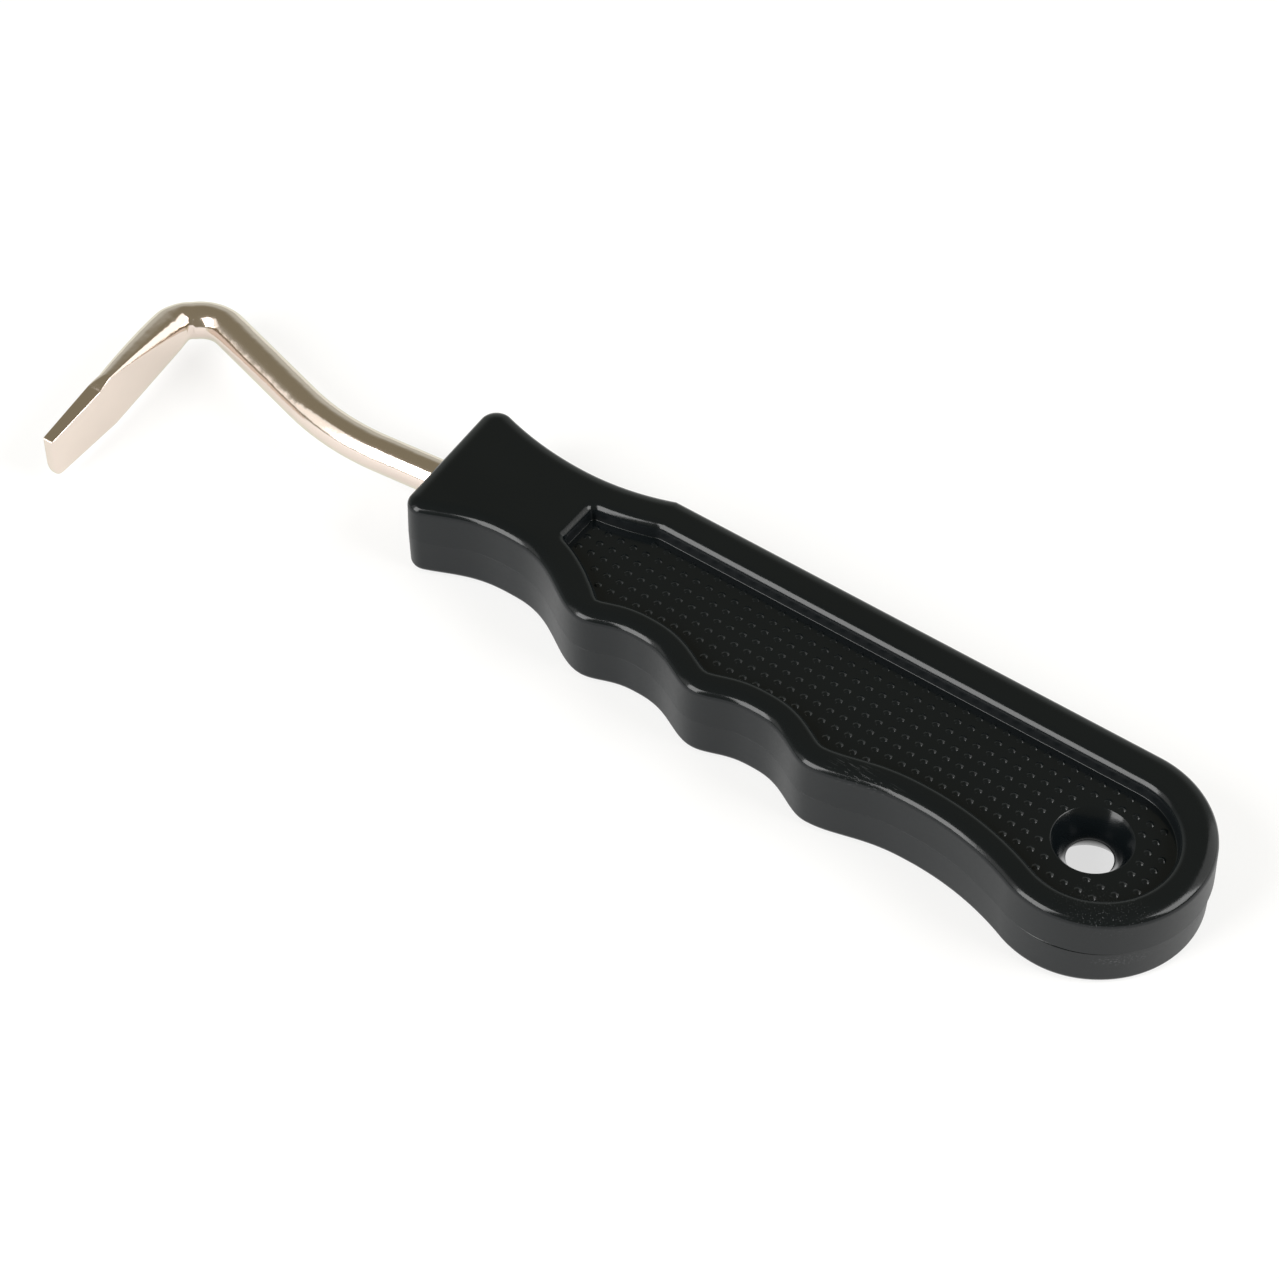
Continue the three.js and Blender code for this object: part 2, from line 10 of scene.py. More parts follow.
import bpy
import numpy as np
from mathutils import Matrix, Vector


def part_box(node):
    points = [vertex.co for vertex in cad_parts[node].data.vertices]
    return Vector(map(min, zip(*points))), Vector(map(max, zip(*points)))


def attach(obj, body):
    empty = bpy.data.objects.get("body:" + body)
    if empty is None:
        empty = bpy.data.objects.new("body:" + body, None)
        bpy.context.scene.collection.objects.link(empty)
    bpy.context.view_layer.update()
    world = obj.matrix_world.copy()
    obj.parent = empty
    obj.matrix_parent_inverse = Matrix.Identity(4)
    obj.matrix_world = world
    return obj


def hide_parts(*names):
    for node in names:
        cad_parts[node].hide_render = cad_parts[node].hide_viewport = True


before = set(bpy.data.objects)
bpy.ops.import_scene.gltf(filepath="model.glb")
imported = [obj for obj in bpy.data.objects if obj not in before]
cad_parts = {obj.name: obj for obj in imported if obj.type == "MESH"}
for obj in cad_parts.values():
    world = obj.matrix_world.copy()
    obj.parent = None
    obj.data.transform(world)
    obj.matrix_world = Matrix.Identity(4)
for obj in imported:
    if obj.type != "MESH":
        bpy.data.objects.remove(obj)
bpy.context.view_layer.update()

bl_info = {
    "name": "Hoof pick",
    "version": (1, 0, 0),
    "blender": (4, 5, 0),
    "location": "View3D > Sidebar > Hoof pick",
    "description": "Builds a hoof pick: two moulded handle halves, grip studs and a steel hook",
    "category": "Object",
}

MM = 0.001
SHELL_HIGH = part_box("upper_handle_shell")[1]
SEAM_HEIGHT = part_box("lower_handle_shell")[1].z
HALF_THICKNESS = (SHELL_HIGH.z - SEAM_HEIGHT) / MM
BUTT_RADIUS = 14.0
ORIGIN = np.array([SHELL_HIGH.x - BUTT_RADIUS * MM, SHELL_HIGH.y - BUTT_RADIUS * MM, SEAM_HEIGHT])

# ---- Handle outline, millimetres ----

FIRST_HOLLOW = np.array([-20.0, -9.9])
FIRST_RIDGE = np.array([-34.0, -12.1])
FINGER_PITCH = 18.0
RIDGE_STEP = 1.5
LAST_RIDGE = FIRST_RIDGE + [-2 * FINGER_PITCH, 2 * RIDGE_STEP]
FRONT = LAST_RIDGE[0] - 30.4
FRONT_LEAN = 0.7
SPINE_CORNER_RADIUS = 2.5
FINGER_CORNER_RADIUS = 2.2
EASE = 1.3
# Hollow, ridge, hollow and so on, from the first finger hollow to the flared corner.
FINGER_TURNS = np.array([
    FIRST_HOLLOW,
    FIRST_RIDGE,
    [FIRST_RIDGE[0] - 10, -8.95],
    [FIRST_RIDGE[0] - FINGER_PITCH, FIRST_RIDGE[1] + RIDGE_STEP],
    [LAST_RIDGE[0] + 7.5, -7.5],
    LAST_RIDGE,
    [FRONT + 15.4, -3.6],
    [FRONT + 0.3, -7.4],
])
HOLLOW_RADIUS = FIRST_HOLLOW @ FIRST_HOLLOW - BUTT_RADIUS**2
HOLLOW_RADIUS /= 2 * (BUTT_RADIUS + FIRST_HOLLOW[1])
WAIST = np.array([FRONT + 16.4, 11.6])
WAIST_START = FRONT + 29.1
WAIST_FRONT_RADIUS = 45.0
WAIST_RISE = BUTT_RADIUS - WAIST[1]
WAIST_BACK_RADIUS = ((WAIST_START - WAIST[0]) ** 2 + WAIST_RISE**2) / (2 * WAIST_RISE)

PANEL_FRONT = FRONT + 21.2
PANEL_END_X = 0.1
PANEL_SOFTENING = 1.3  # rounds the panel's front corners
SPINE_RIM = 5.28
FINGER_RIM = 3.85
FRONT_RIM_EXTRA = 1.0
HOLE = np.array([-0.8, -0.4])
HOLE_FLARE = 1.3

# ---- Moulding details, millimetres ----

WALL_DRAFT = 0.1  # how far the outer wall leans in over its height
PANEL_DRAFT = 0.06  # the same for the panel's wall
PANEL_FOOT = 0.1  # rounding between the panel's wall and its floor
HOLE_EDGE = 0.22  # rounding of the hang hole's mouth
SEAM_EDGE = 0.008  # edge break along the seam, away from the butt
BEVEL_RUN = (-3.0, 2.0)  # x over which it grows to the bevel at the butt
MISMATCH_RUN = (-2.0, 8.0)  # x over which the lower half's mismatch grows
NOTCH_GAP = 0.12  # between the rod and the notch that it leaves through
HOLLOW_GAP = 0.3  # between the rod and the ceiling of the hollow inside
STUD_PLACE = (-0.31, 1.72)  # one stud's axis, which sets the lattice
STUD_RINGS = (1.05, 0.8, 0.5, 0.22)  # shares of a stud's radius
STUD_SIDES = 12
STUD_TO_WALL = 1.0  # least distance from a stud's axis to the panel's edge
STUD_TO_HOLE = 0.75  # the same to the hole's mouth

# ---- Rod centre line, millimetres ----

ROD_Y = 3.7
TANG_END = FRONT + 58.4
SPADE_LENGTH = 12.0
SPADE_HALF_WIDTH = 4.0
SPADE_HALF_THICKNESS = 1.3
SPADE_ROUND = 0.5
PRESS_LEAD = 4.2  # how far back along the bend the pressing begins
SHOULDER_RAMP = 2.4  # length over which the trim cuts in
TIP_RUN = 1.6  # length of the fine steps at the tip
TIP_ROUND = 1.3  # rounding of the tip's lower corner
NOSE_ROUND = 0.22  # rounding of the tip's own edge
TRIM_ROUND = 0.12  # rounding of the trimmed flat's edges
# Wide and tall roundings of the pressed blade's corners, from the inner upper one round.
BLADE_ROUNDS = ((0.2, 0.16), (1.6, 1.4), (0.9, 1.2), (0.5, 0.5))
# Corners of the centre line with the radius of each bend.
ROD_CORNERS = np.array([
    [TANG_END, ROD_Y, 0.0],
    [FRONT + 1.9, ROD_Y, 30.0],
    [FRONT - 17.1, 1.81, 37.0],
    [FRONT - 46.75, 10.39, 5.2],
    [FRONT - 46.75, -22.5, 0.0],
])
# The rod grows thinner from here, just before the last bend ends.
THIN_START = ROD_CORNERS[3, 1] - ROD_CORNERS[3, 2] * 1.14

# ---- Fineness ----

SIDE_COLUMNS = 180
END_COLUMNS = 150
FRONT_COLUMNS = 260
DENSE_STEP = 0.05
ROD_STEP = 0.3
CORNER_STEPS = 17
SUPPORT = 0.07  # narrow band between a rounding and the flat beside it
SEAM_SUPPORT = 0.02  # the same above the seam's edge break
HOLE_LEAD = 0.8  # from the hole's mouth to where the side columns begin
FRONT_LEAD = 1.6  # from the panel's front to where the side columns end
MIDDLE_LEAD = 7.0  # from the panel's front to the tip of the middle line


def smoothstep(value, low, high):
    """0 below low, 1 above high, and 3t^2 - 2t^3 of the share t in between."""
    share = np.clip((value - low) / (high - low), 0.0, 1.0)
    return share * share * (3 - 2 * share)


def lerp(first, second, share):
    """The straight mix of two values."""
    return first + (second - first) * share


def arc_rise(radius, offset):
    """Height of a circle's point above its lowest point: r - sqrt(r^2 - offset^2)."""
    return radius - np.sqrt(np.maximum(radius**2 - offset**2, 0.0))


def spine_edge(x):
    """The spine's Y: straight, then a thumb hollow of two arcs that share their lowest point."""
    radius = np.where(x > WAIST[0], WAIST_BACK_RADIUS, WAIST_FRONT_RADIUS)
    return np.where(x > WAIST_START, BUTT_RADIUS, WAIST[1] + arc_rise(radius, x - WAIST[0]))


def finger_edge(x):
    """The finger side's Y: an arc by the butt, then half cosine waves (1 - cos(pi t^ease)) / 2,
    where t runs from each hollow to the ridge beside it."""
    edge = FIRST_HOLLOW[1] - arc_rise(HOLLOW_RADIUS, x - FIRST_HOLLOW[0])
    for turn in range(len(FINGER_TURNS) - 1):
        hollow, ridge = FINGER_TURNS[turn + turn % 2], FINGER_TURNS[turn + 1 - turn % 2]
        along = np.clip((x - hollow[0]) / (ridge[0] - hollow[0]), 0.0, 1.0)
        wave = hollow[1] + (ridge[1] - hollow[1]) * (1 - np.cos(np.pi * along**EASE)) / 2
        edge = np.where(x <= FINGER_TURNS[turn][0], wave, edge)
    return edge


def finger_rim(x):
    """Width of the rim beside the fingers, which grows ahead of the last ridge."""
    return FINGER_RIM + FRONT_RIM_EXTRA * smoothstep(LAST_RIDGE[0] - x, 0.0, FINGER_RIM)


def inset_edge(edge, side, x, inset):
    """An edge moved inwards: the envelope of discs of radius inset(x) rolled along it, so the
    least of side * edge(x + r s) - r sqrt(1 - s^2) over s from -1 to 1."""
    sine = np.linspace(-1.0, 1.0, 81)[:, None]
    near = x + sine * inset(x)
    return side * (side * edge(near) - inset(near) * np.sqrt(1 - sine**2)).min(axis=0)


def corner_disc(edge, side, front, radius):
    """Centre of the disc that rounds a front corner, and the angle at which it leaves the edge."""
    centre = np.array([front + radius, 0.0])
    centre[1] = inset_edge(edge, side, centre[:1], lambda x: np.full_like(x, radius))[0]
    near = centre[0] + np.linspace(0, radius, 400)
    gap = np.hypot(near - centre[0], edge(near) - centre[1])
    touch = near[gap.argmin()]
    return centre, math.atan2(edge(np.array([touch]))[0] - centre[1], touch - centre[0])


def arc(centre, radius, start, end):
    """Points of a circle from one angle to another, about DENSE_STEP apart."""
    count = max(3, int(abs(end - start) * radius / DENSE_STEP))
    angle = np.linspace(start, end, count)
    return centre + radius * np.stack([np.cos(angle), np.sin(angle)], axis=1)


def edge_run(function, start, end):
    """Points (x, function(x)) from one x to another, about DENSE_STEP apart."""
    x = np.linspace(start, end, max(3, int(abs(end - start) / DENSE_STEP)))
    return np.stack([x, function(x)], axis=1)


def even(points, count):
    """An open run of points resampled to count points at equal lengths along it."""
    step = np.hypot(*np.diff(points, axis=0).T)
    along = np.concatenate([[0.0], np.cumsum(step)])
    wanted = np.linspace(0.0, along[-1], count)
    return np.stack([np.interp(wanted, along, points[:, i]) for i in (0, 1)], axis=1)


def softened(points, width):
    """An open run of points with its corners rounded by a running mean of the given width."""
    fine = even(points, int(np.hypot(*np.diff(points, axis=0).T).sum() / DENSE_STEP))
    half = max(1, int(width / DENSE_STEP / 2))
    kernel = np.ones(2 * half + 1) / (2 * half + 1)
    padded = np.concatenate([
        2 * fine[:1] - fine[half:0:-1],
        fine,
        2 * fine[-1:] - fine[-2 : -half - 2 : -1],
    ])
    return np.stack([np.convolve(padded[:, i], kernel, mode="valid") for i in (0, 1)], axis=1)


def outward(points):
    """Unit normals of a closed anticlockwise loop, pointing out of it: its tangent turned by -90
    degrees."""
    ahead, behind = np.roll(points, -1, axis=0), np.roll(points, 1, axis=0)
    forward, back = ahead - points, points - behind
    far = np.maximum(np.hypot(*forward.T), 1e-9)[:, None]
    near = np.maximum(np.hypot(*back.T), 1e-9)[:, None]
    tangent = forward / far * near + back / near * far
    tangent /= np.hypot(*tangent.T)[:, None]
    return np.stack([tangent[:, 1], -tangent[:, 0]], axis=1)


class Columns:
    """The upright columns that every handle surface is lofted on, anticlockwise from the spine.

    outer and panel hold each column's place on the handle's and on the grip panel's outline.
    Columns beside the panel meet on a middle line, and the others go round the hole.
    """

    def __init__(self, hole_radius):
        split = HOLE[0] - hole_radius - HOLE_LEAD
        join = PANEL_FRONT + FRONT_LEAD
        self.side_x = np.linspace(split, join, SIDE_COLUMNS)
        front, end = self.outer_front(join), self.outer_end(split)
        self.outer = self.loop(front, end, spine_edge, finger_edge)
        spine, fingers = self.panel_edges()
        self.panel = self.loop(self.panel_front(join), self.panel_end(split), spine, fingers)
        self.outer_out = outward(self.outer)
        self.panel_out = outward(self.panel)
        angle = np.linspace(-np.pi, np.pi, END_COLUMNS + 2)
        self.round = np.stack([np.cos(angle), np.sin(angle)], axis=1)

    def loop(self, front, end, spine, fingers):
        """Spine, front, fingers and butt runs joined to one closed loop."""
        x = self.side_x
        return np.concatenate([
            np.stack([x, spine(x)], axis=1),
            even(front, FRONT_COLUMNS)[1:-1],
            np.stack([x[::-1], fingers(x[::-1])], axis=1),
            even(end, END_COLUMNS + 2)[1:-1],
        ])

    @staticmethod
    def outer_front(join):
        """The outline ahead of the panel: thumb hollow, two rounded corners, flared finger side."""
        upper, upper_angle = corner_disc(spine_edge, 1, FRONT, SPINE_CORNER_RADIUS)
        lower, lower_angle = corner_disc(finger_edge, -1, FRONT + FRONT_LEAN, FINGER_CORNER_RADIUS)
        apart = upper - lower
        lean = math.acos((FINGER_CORNER_RADIUS - SPINE_CORNER_RADIUS) / np.hypot(*apart))
        normal = math.atan2(apart[1], apart[0]) + lean
        upper_arc = arc(upper, SPINE_CORNER_RADIUS, upper_angle, normal)
        lower_arc = arc(lower, FINGER_CORNER_RADIUS, normal, lower_angle + 2 * np.pi)
        return np.concatenate([
            edge_run(spine_edge, join, upper_arc[0, 0])[:-1],
            upper_arc,
            lower_arc,
            edge_run(finger_edge, lower_arc[-1, 0], join)[1:],
        ])

    @staticmethod
    def outer_end(split):
        """The outline round the butt, from the fingers to the spine."""
        tangent = math.atan2(FIRST_HOLLOW[1] - HOLLOW_RADIUS, FIRST_HOLLOW[0])
        butt = arc(np.zeros(2), BUTT_RADIUS, tangent, np.pi / 2)
        return np.concatenate([
            edge_run(finger_edge, split, butt[0, 0])[:-1],
            butt,
            [[split, BUTT_RADIUS]],
        ])

    @staticmethod
    def panel_edges():
        """The grip panel's two long edges as functions of x."""
        x = np.arange(PANEL_FRONT - 2, 2, DENSE_STEP)
        spine = inset_edge(spine_edge, 1, x, lambda near: np.full_like(near, SPINE_RIM))
        fingers = inset_edge(finger_edge, -1, x, finger_rim)
        return (lambda at: np.interp(at, x, spine)), (lambda at: np.interp(at, x, fingers))

    def panel_front(self, join):
        """The panel's straight front end, with its corners slightly rounded."""
        spine, fingers = self.panel_edges()
        reach = 2.0
        run = np.concatenate([
            edge_run(spine, join + reach, PANEL_FRONT),
            edge_run(fingers, PANEL_FRONT, join + reach),
        ])
        soft = softened(run, PANEL_SOFTENING)
        kept = soft[soft[:, 0] < join]
        first, last = [[join, spine(join)]], [[join, fingers(join)]]
        return np.concatenate([first, kept, last])

    def panel_end(self, split):
        """The panel's round end, tangent to the spine rim and to the first hollow's rim."""
        top = BUTT_RADIUS - SPINE_RIM
        hollow = np.array([FIRST_HOLLOW[0], FIRST_HOLLOW[1] - HOLLOW_RADIUS])
        rim = HOLLOW_RADIUS + FINGER_RIM
        rise, run = top - hollow[1], PANEL_END_X - hollow[0]
        radius = (run**2 + rise**2 - rim**2) / (2 * (rim + rise))
        centre = np.array([PANEL_END_X, top - radius])
        tangent = math.atan2(hollow[1] - centre[1], hollow[0] - centre[0])
        end = arc(centre, radius, tangent, np.pi / 2)
        fingers = edge_run(self.panel_edges()[1], split, end[0, 0])
        return np.concatenate([fingers[:-1], end, [[split, top]]])

    def inner(self, radius):
        """The middle line and the circle of the given radius that all columns lead to."""
        spine, fingers = self.panel_edges()
        x = np.linspace(HOLE[0] - radius, PANEL_FRONT + MIDDLE_LEAD, SIDE_COLUMNS)
        share = np.linspace(0.0, 1.0, SIDE_COLUMNS)
        y = lerp(HOLE[1], (spine(x) + fingers(x)) / 2, smoothstep(share, 0.0, 0.4))
        middle = np.stack([x, y], axis=1)
        tip = np.repeat(middle[-1:], FRONT_COLUMNS - 2, axis=0)
        return np.concatenate([middle, tip, middle[::-1], self.circle(radius)[1:-1]])

    def circle(self, radius):
        """A circle round the hang hole, from its left point and back to it."""
        return HOLE + radius * self.round


def level(points, height):
    """A ring of points at one height, or at one height for each point."""
    return np.column_stack([points, np.broadcast_to(height, len(points))])


def strip(rings, closed):
    """Corners of the quads between rings of equally many points, stacked in order."""
    count, rows = len(rings[0]), len(rings)
    row = np.arange(rows - 1)[:, None] * count
    column = np.arange(count if closed else count - 1)
    ahead = (column + 1) % count
    quads = np.stack([row + column, row + ahead, row + count + ahead, row + count + column], axis=2)
    return np.concatenate(rings), quads.reshape(-1, 4)


def fan(start, count, apex):
    """Triangles from a ring of count points, numbered from start on, to one more point."""
    column = np.arange(count)
    return np.stack([start + column, start + (column + 1) % count, np.full(count, apex)], axis=1)


def joined(patches):
    """Several patches of faces as one set of points and faces, with coinciding points made one."""
    points, faces, start = [], [], 0
    for patch_points, patch_faces in patches:
        points.append(patch_points)
        faces.append(patch_faces + start)
        start += len(patch_points)
    points = np.concatenate(points)
    _, first, same = np.unique(np.round(points, 4), axis=0, return_index=True, return_inverse=True)
    same = same.reshape(-1)
    return points[first], sum((faces_of(same[patch]) for patch in faces), [])


def faces_of(quads):
    """Quads as a list of faces. A corner that repeats the one before it is dropped. Faces of more
    corners are kept as they are."""
    if quads.shape[1] > 4:
        return quads.tolist()
    repeats = quads == np.roll(quads, 1, axis=1)
    whole = ~repeats.any(axis=1)
    narrow = repeats.sum(axis=1) == 1
    triangles = quads[narrow][~repeats[narrow]].reshape(-1, 3)
    ordered = np.sort(triangles, axis=1)
    sound = (ordered[:, 0] != ordered[:, 1]) & (ordered[:, 1] != ordered[:, 2])
    square = np.sort(quads[whole], axis=1)
    flat = (square[:, 1:] == square[:, :-1]).any(axis=1)
    return quads[whole][~flat].tolist() + triangles[sound].tolist()


def carry(points):
    """Points in the maker's frame, in millimetres, as points in the part's frame, in metres."""
    return points * MM + ORIGIN


def put_in_scene(name, data):
    """A new object of the scene's own collection."""
    made = bpy.data.objects.new(name, data)
    bpy.context.scene.collection.objects.link(made)
    return made


def add_mesh(name, points, faces, material, node_slot, replaces=(), path_map=None):
    """A smooth mesh object at the origin that rides on the tool's only body."""
    mesh = bpy.data.meshes.new(name)
    mesh.from_pydata(carry(points).tolist(), [], faces)
    mesh.validate()
    mesh.shade_smooth()
    if path_map is not None:
        corners = np.empty(len(mesh.loops), dtype=np.int32)
        mesh.loops.foreach_get("vertex_index", corners)
        layer = mesh.uv_layers.new(name="along_and_round")
        layer.data.foreach_set("uv", path_map[corners].astype(np.float32).ravel())
    mesh.materials.append(material)
    piece = put_in_scene(name, mesh)
    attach(piece, "root")
    if replaces:
        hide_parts(*replaces)


# ---- Surfaces ----


def rod_notch(points, radius):
    """Height of the round notch that the rod leaves through, over the points of the front end:
    sqrt(r^2 - d^2), where d is a point's distance from the rod's centre line."""
    slope = (ROD_CORNERS[1, 1] - ROD_CORNERS[2, 1]) / (ROD_CORNERS[1, 0] - ROD_CORNERS[2, 0])
    centre = ROD_Y + slope * np.minimum(points[:, 0] - ROD_CORNERS[1, 0], 0.0)
    height = np.sqrt(np.maximum(radius**2 - (points[:, 1] - centre) ** 2, 0.0))
    return np.where(points[:, 0] < FRONT + 4, height, 0.0)


def rim_profile(crown, fillet):
    """The rim's section as (inset, drop) from its flat top to the side wall: an arc of the crown's
    radius turns it by 30 degrees, and one of the fillet's radius by the other 60."""
    turn = math.pi / 6
    wide = crown * math.sin(turn) + fillet * (1 - math.sin(turn))
    section = []
    for angle in np.linspace(0, turn, 7)[:-1]:
        section.append((wide - crown * math.sin(angle), crown * (1 - math.cos(angle))))
    low = crown * (1 - math.cos(turn)) + fillet * math.cos(turn)
    for angle in np.linspace(turn, math.pi / 2, 13):
        section.append((fillet * (1 - math.sin(angle)), low - fillet * math.cos(angle)))
    return section


def wall_and_rim(outer, out, bevel, notch, profile):
    """Rings from the seam's edge break up the drafted side wall and over the rim's rounding."""
    low = notch + bevel + SEAM_SUPPORT
    top = HALF_THICKNESS - profile[-1][1]
    rings = [
        level(outer - out * bevel[:, None], notch),
        level(outer, notch + bevel),
        level(outer, low),
    ]
    for share in (0.04, 0.25, 0.5, 0.75, 0.97):
        rings.append(level(outer - out * WALL_DRAFT * share, lerp(low, top, share)))
    for inset, drop in reversed(profile):
        rings.append(level(outer - out * (WALL_DRAFT + inset), HALF_THICKNESS - drop))
    return rings


def flat_rim(rim_outer, rim_inner):
    """The flat between two rings of the rim as two patches: quads beside and behind the panel,
    and a single face with many corners ahead of it."""
    count = len(rim_outer)
    points, quads = strip([rim_outer, (rim_outer + rim_inner) / 2, rim_inner], closed=True)
    first, last = SIDE_COLUMNS - 1, SIDE_COLUMNS + FRONT_COLUMNS - 1
    column = quads % count
    ahead = ((column >= first) & (column < last)).all(axis=1)
    front = np.arange(first, last)
    middle = front[[-1, 0]] + count
    front = np.concatenate([front, middle[:1], front[::-1] + 2 * count, middle[1:]])
    return (points, quads[~ahead]), (points, front[None])


def sunk_panel(columns, rim_inner, lip, floor, reach):
    """Rings over the panel's lip, down its drafted wall, round its foot and across its floor to
    the middle line and the circle whose radius is reach."""
    panel, out = columns.panel, columns.panel_out
    rings = [rim_inner]
    for angle in np.linspace(0, np.pi / 2, 13):
        grow = lip * (1 - math.sin(angle))
        rings.append(level(panel + out * grow, HALF_THICKNESS - lip * (1 - math.cos(angle))))
    for share in (0.06, 0.5, 0.95):
        height = lerp(HALF_THICKNESS - lip, floor + PANEL_FOOT, share)
        rings.append(level(panel - out * PANEL_DRAFT * share, height))
    for angle in np.linspace(0, np.pi / 2, 6):
        inset = PANEL_DRAFT + PANEL_FOOT * (1 - math.cos(angle))
        rings.append(level(panel - out * inset, floor + PANEL_FOOT * (1 - math.sin(angle))))
    floor_outer = panel - out * (PANEL_DRAFT + PANEL_FOOT + SUPPORT)
    floor_inner = columns.inner(reach)
    for share in (0.0, 0.5, 1.0):
        rings.append(level(lerp(floor_outer, floor_inner, share), floor))
    return rings


def bell_hole(columns, neck, mouth, floor):
    """Rings over the hang hole's rounded edge and down its bell to the seam: its radius is
    neck + (mouth - neck) t^1.3 at the share t of its height."""
    rings = [level(columns.circle(mouth + HOLE_EDGE + SUPPORT), floor)]
    for angle in np.linspace(0, np.pi / 3, 6):
        drop = HOLE_EDGE * (1 - math.cos(angle))
        radius = mouth + HOLE_EDGE * (1 - math.sin(angle))
        rings.append(level(columns.circle(radius), floor - drop))
    start = floor - HOLE_EDGE * (1 - math.cos(np.pi / 3))
    for share in np.linspace(0.96, 0.0, 14):
        radius = neck + (mouth - neck) * share**HOLE_FLARE
        rings.append(level(columns.circle(radius), max(start * share, 0.0)))
    return rings


def half_shell(sizes):
    """One handle half as a closed loft over Columns: up the side wall, over the rim, down to the
    sunk floor, through the bell mouthed hole, up round the boss behind it, and back through the
    hollow inside. Points are in the maker's frame, for the upper half."""
    mm = {key: getattr(sizes, key) / MM for key in SizesOfHandle.__annotations__}
    neck, mouth = mm["hole_neck_radius"], mm["hole_mouth_radius"]
    lip, wall = mm["panel_lip"], mm["wall"]
    floor = HALF_THICKNESS - mm["panel_depth"]
    clearance = mm["rod_radius"] + NOTCH_GAP
    ceiling = mm["rod_radius"] + HOLLOW_GAP
    boss = neck + (mouth - neck) * (ceiling / floor) ** HOLE_FLARE + wall

    columns = Columns(mouth)
    outer, out = columns.outer, columns.outer_out
    bevel = lerp(SEAM_EDGE, mm["seam_bevel"], smoothstep(outer[:, 0], *BEVEL_RUN))
    profile = rim_profile(mm["rim_crown"], mm["rim_fillet"])
    outside = wall_and_rim(outer, out, bevel, rod_notch(outer, clearance), profile)
    rim_outer = level(outer - out * (WALL_DRAFT + profile[0][0] + SUPPORT), HALF_THICKNESS)
    rim_inner = level(columns.panel + columns.panel_out * (lip + SUPPORT), HALF_THICKNESS)
    panel = sunk_panel(columns, rim_inner, lip, floor, mouth + HOLE_EDGE + SUPPORT)
    hole = bell_hole(columns, neck, mouth, floor)
    hole += [level(columns.circle(boss), 0.0), level(columns.circle(boss), ceiling)]
    cavity = outer - out * wall
    hollow = [
        level(columns.inner(boss), ceiling),
        level(cavity, ceiling),
        level(cavity, rod_notch(cavity, clearance)),
        outside[0],
    ]
    return joined([
        strip([*outside, rim_outer], closed=True),
        *flat_rim(rim_outer, rim_inner),
        strip(panel, closed=True),
        strip(hole, closed=False),
        strip(hollow, closed=True),
    ])


def panel_studs(sizes, face):
    """Grip studs on a square lattice on one panel floor (face is 1 above the seam, -1 below): each
    is a surface of revolution whose height is h (1 - (d / r)^1.5) at a distance d from its axis."""
    radius, height = sizes.stud_radius / MM, sizes.stud_height / MM
    columns = Columns(sizes.hole_mouth_radius / MM)
    x = np.arange(PANEL_FRONT, PANEL_END_X + 10, sizes.stud_pitch_x / MM)
    y = np.arange(-12, 12, sizes.stud_pitch_y / MM)
    x += STUD_PLACE[0] - x[np.abs(x).argmin()]
    y += STUD_PLACE[1] - y[np.abs(y - STUD_PLACE[1]).argmin()]
    places = np.stack(np.meshgrid(x, y), axis=2).reshape(-1, 2)
    outline, out = columns.panel, columns.panel_out
    gap = places[:, None] - outline
    nearest = np.hypot(gap[..., 0], gap[..., 1]).argmin(axis=1)
    from_wall = -((places - outline[nearest]) * out[nearest]).sum(axis=1)
    from_hole = np.hypot(*(places - HOLE).T) - sizes.hole_mouth_radius / MM
    places = places[(from_wall > STUD_TO_WALL) & (from_hole > STUD_TO_HOLE)]

    share = np.array(STUD_RINGS)[:, None]
    turn = np.linspace(0, 2 * np.pi, STUD_SIDES, endpoint=False)
    rise = height * (1 - share**1.5) + 0 * turn
    dome = np.stack([radius * share * np.cos(turn), radius * share * np.sin(turn), rise], axis=2)
    dome = np.concatenate([dome.reshape(-1, 3), [[0, 0, height]]])
    quads = strip([np.zeros((STUD_SIDES, 3))] * len(share), closed=True)[1]
    apex = len(dome) - 1
    cap = fan(apex - STUD_SIDES, STUD_SIDES, apex)
    floor = HALF_THICKNESS - sizes.panel_depth / MM
    centres = np.column_stack([places, np.full(len(places), floor)])
    points = (centres[:, None] + dome).reshape(-1, 3)
    shift = np.arange(len(places))[:, None, None] * len(dome)
    faces = (quads + shift).reshape(-1, 4).tolist() + (cap + shift).reshape(-1, 3).tolist()
    if face < 0:
        points = points * [1, 1, -1]
        faces = [corners[::-1] for corners in faces]
    return points, faces


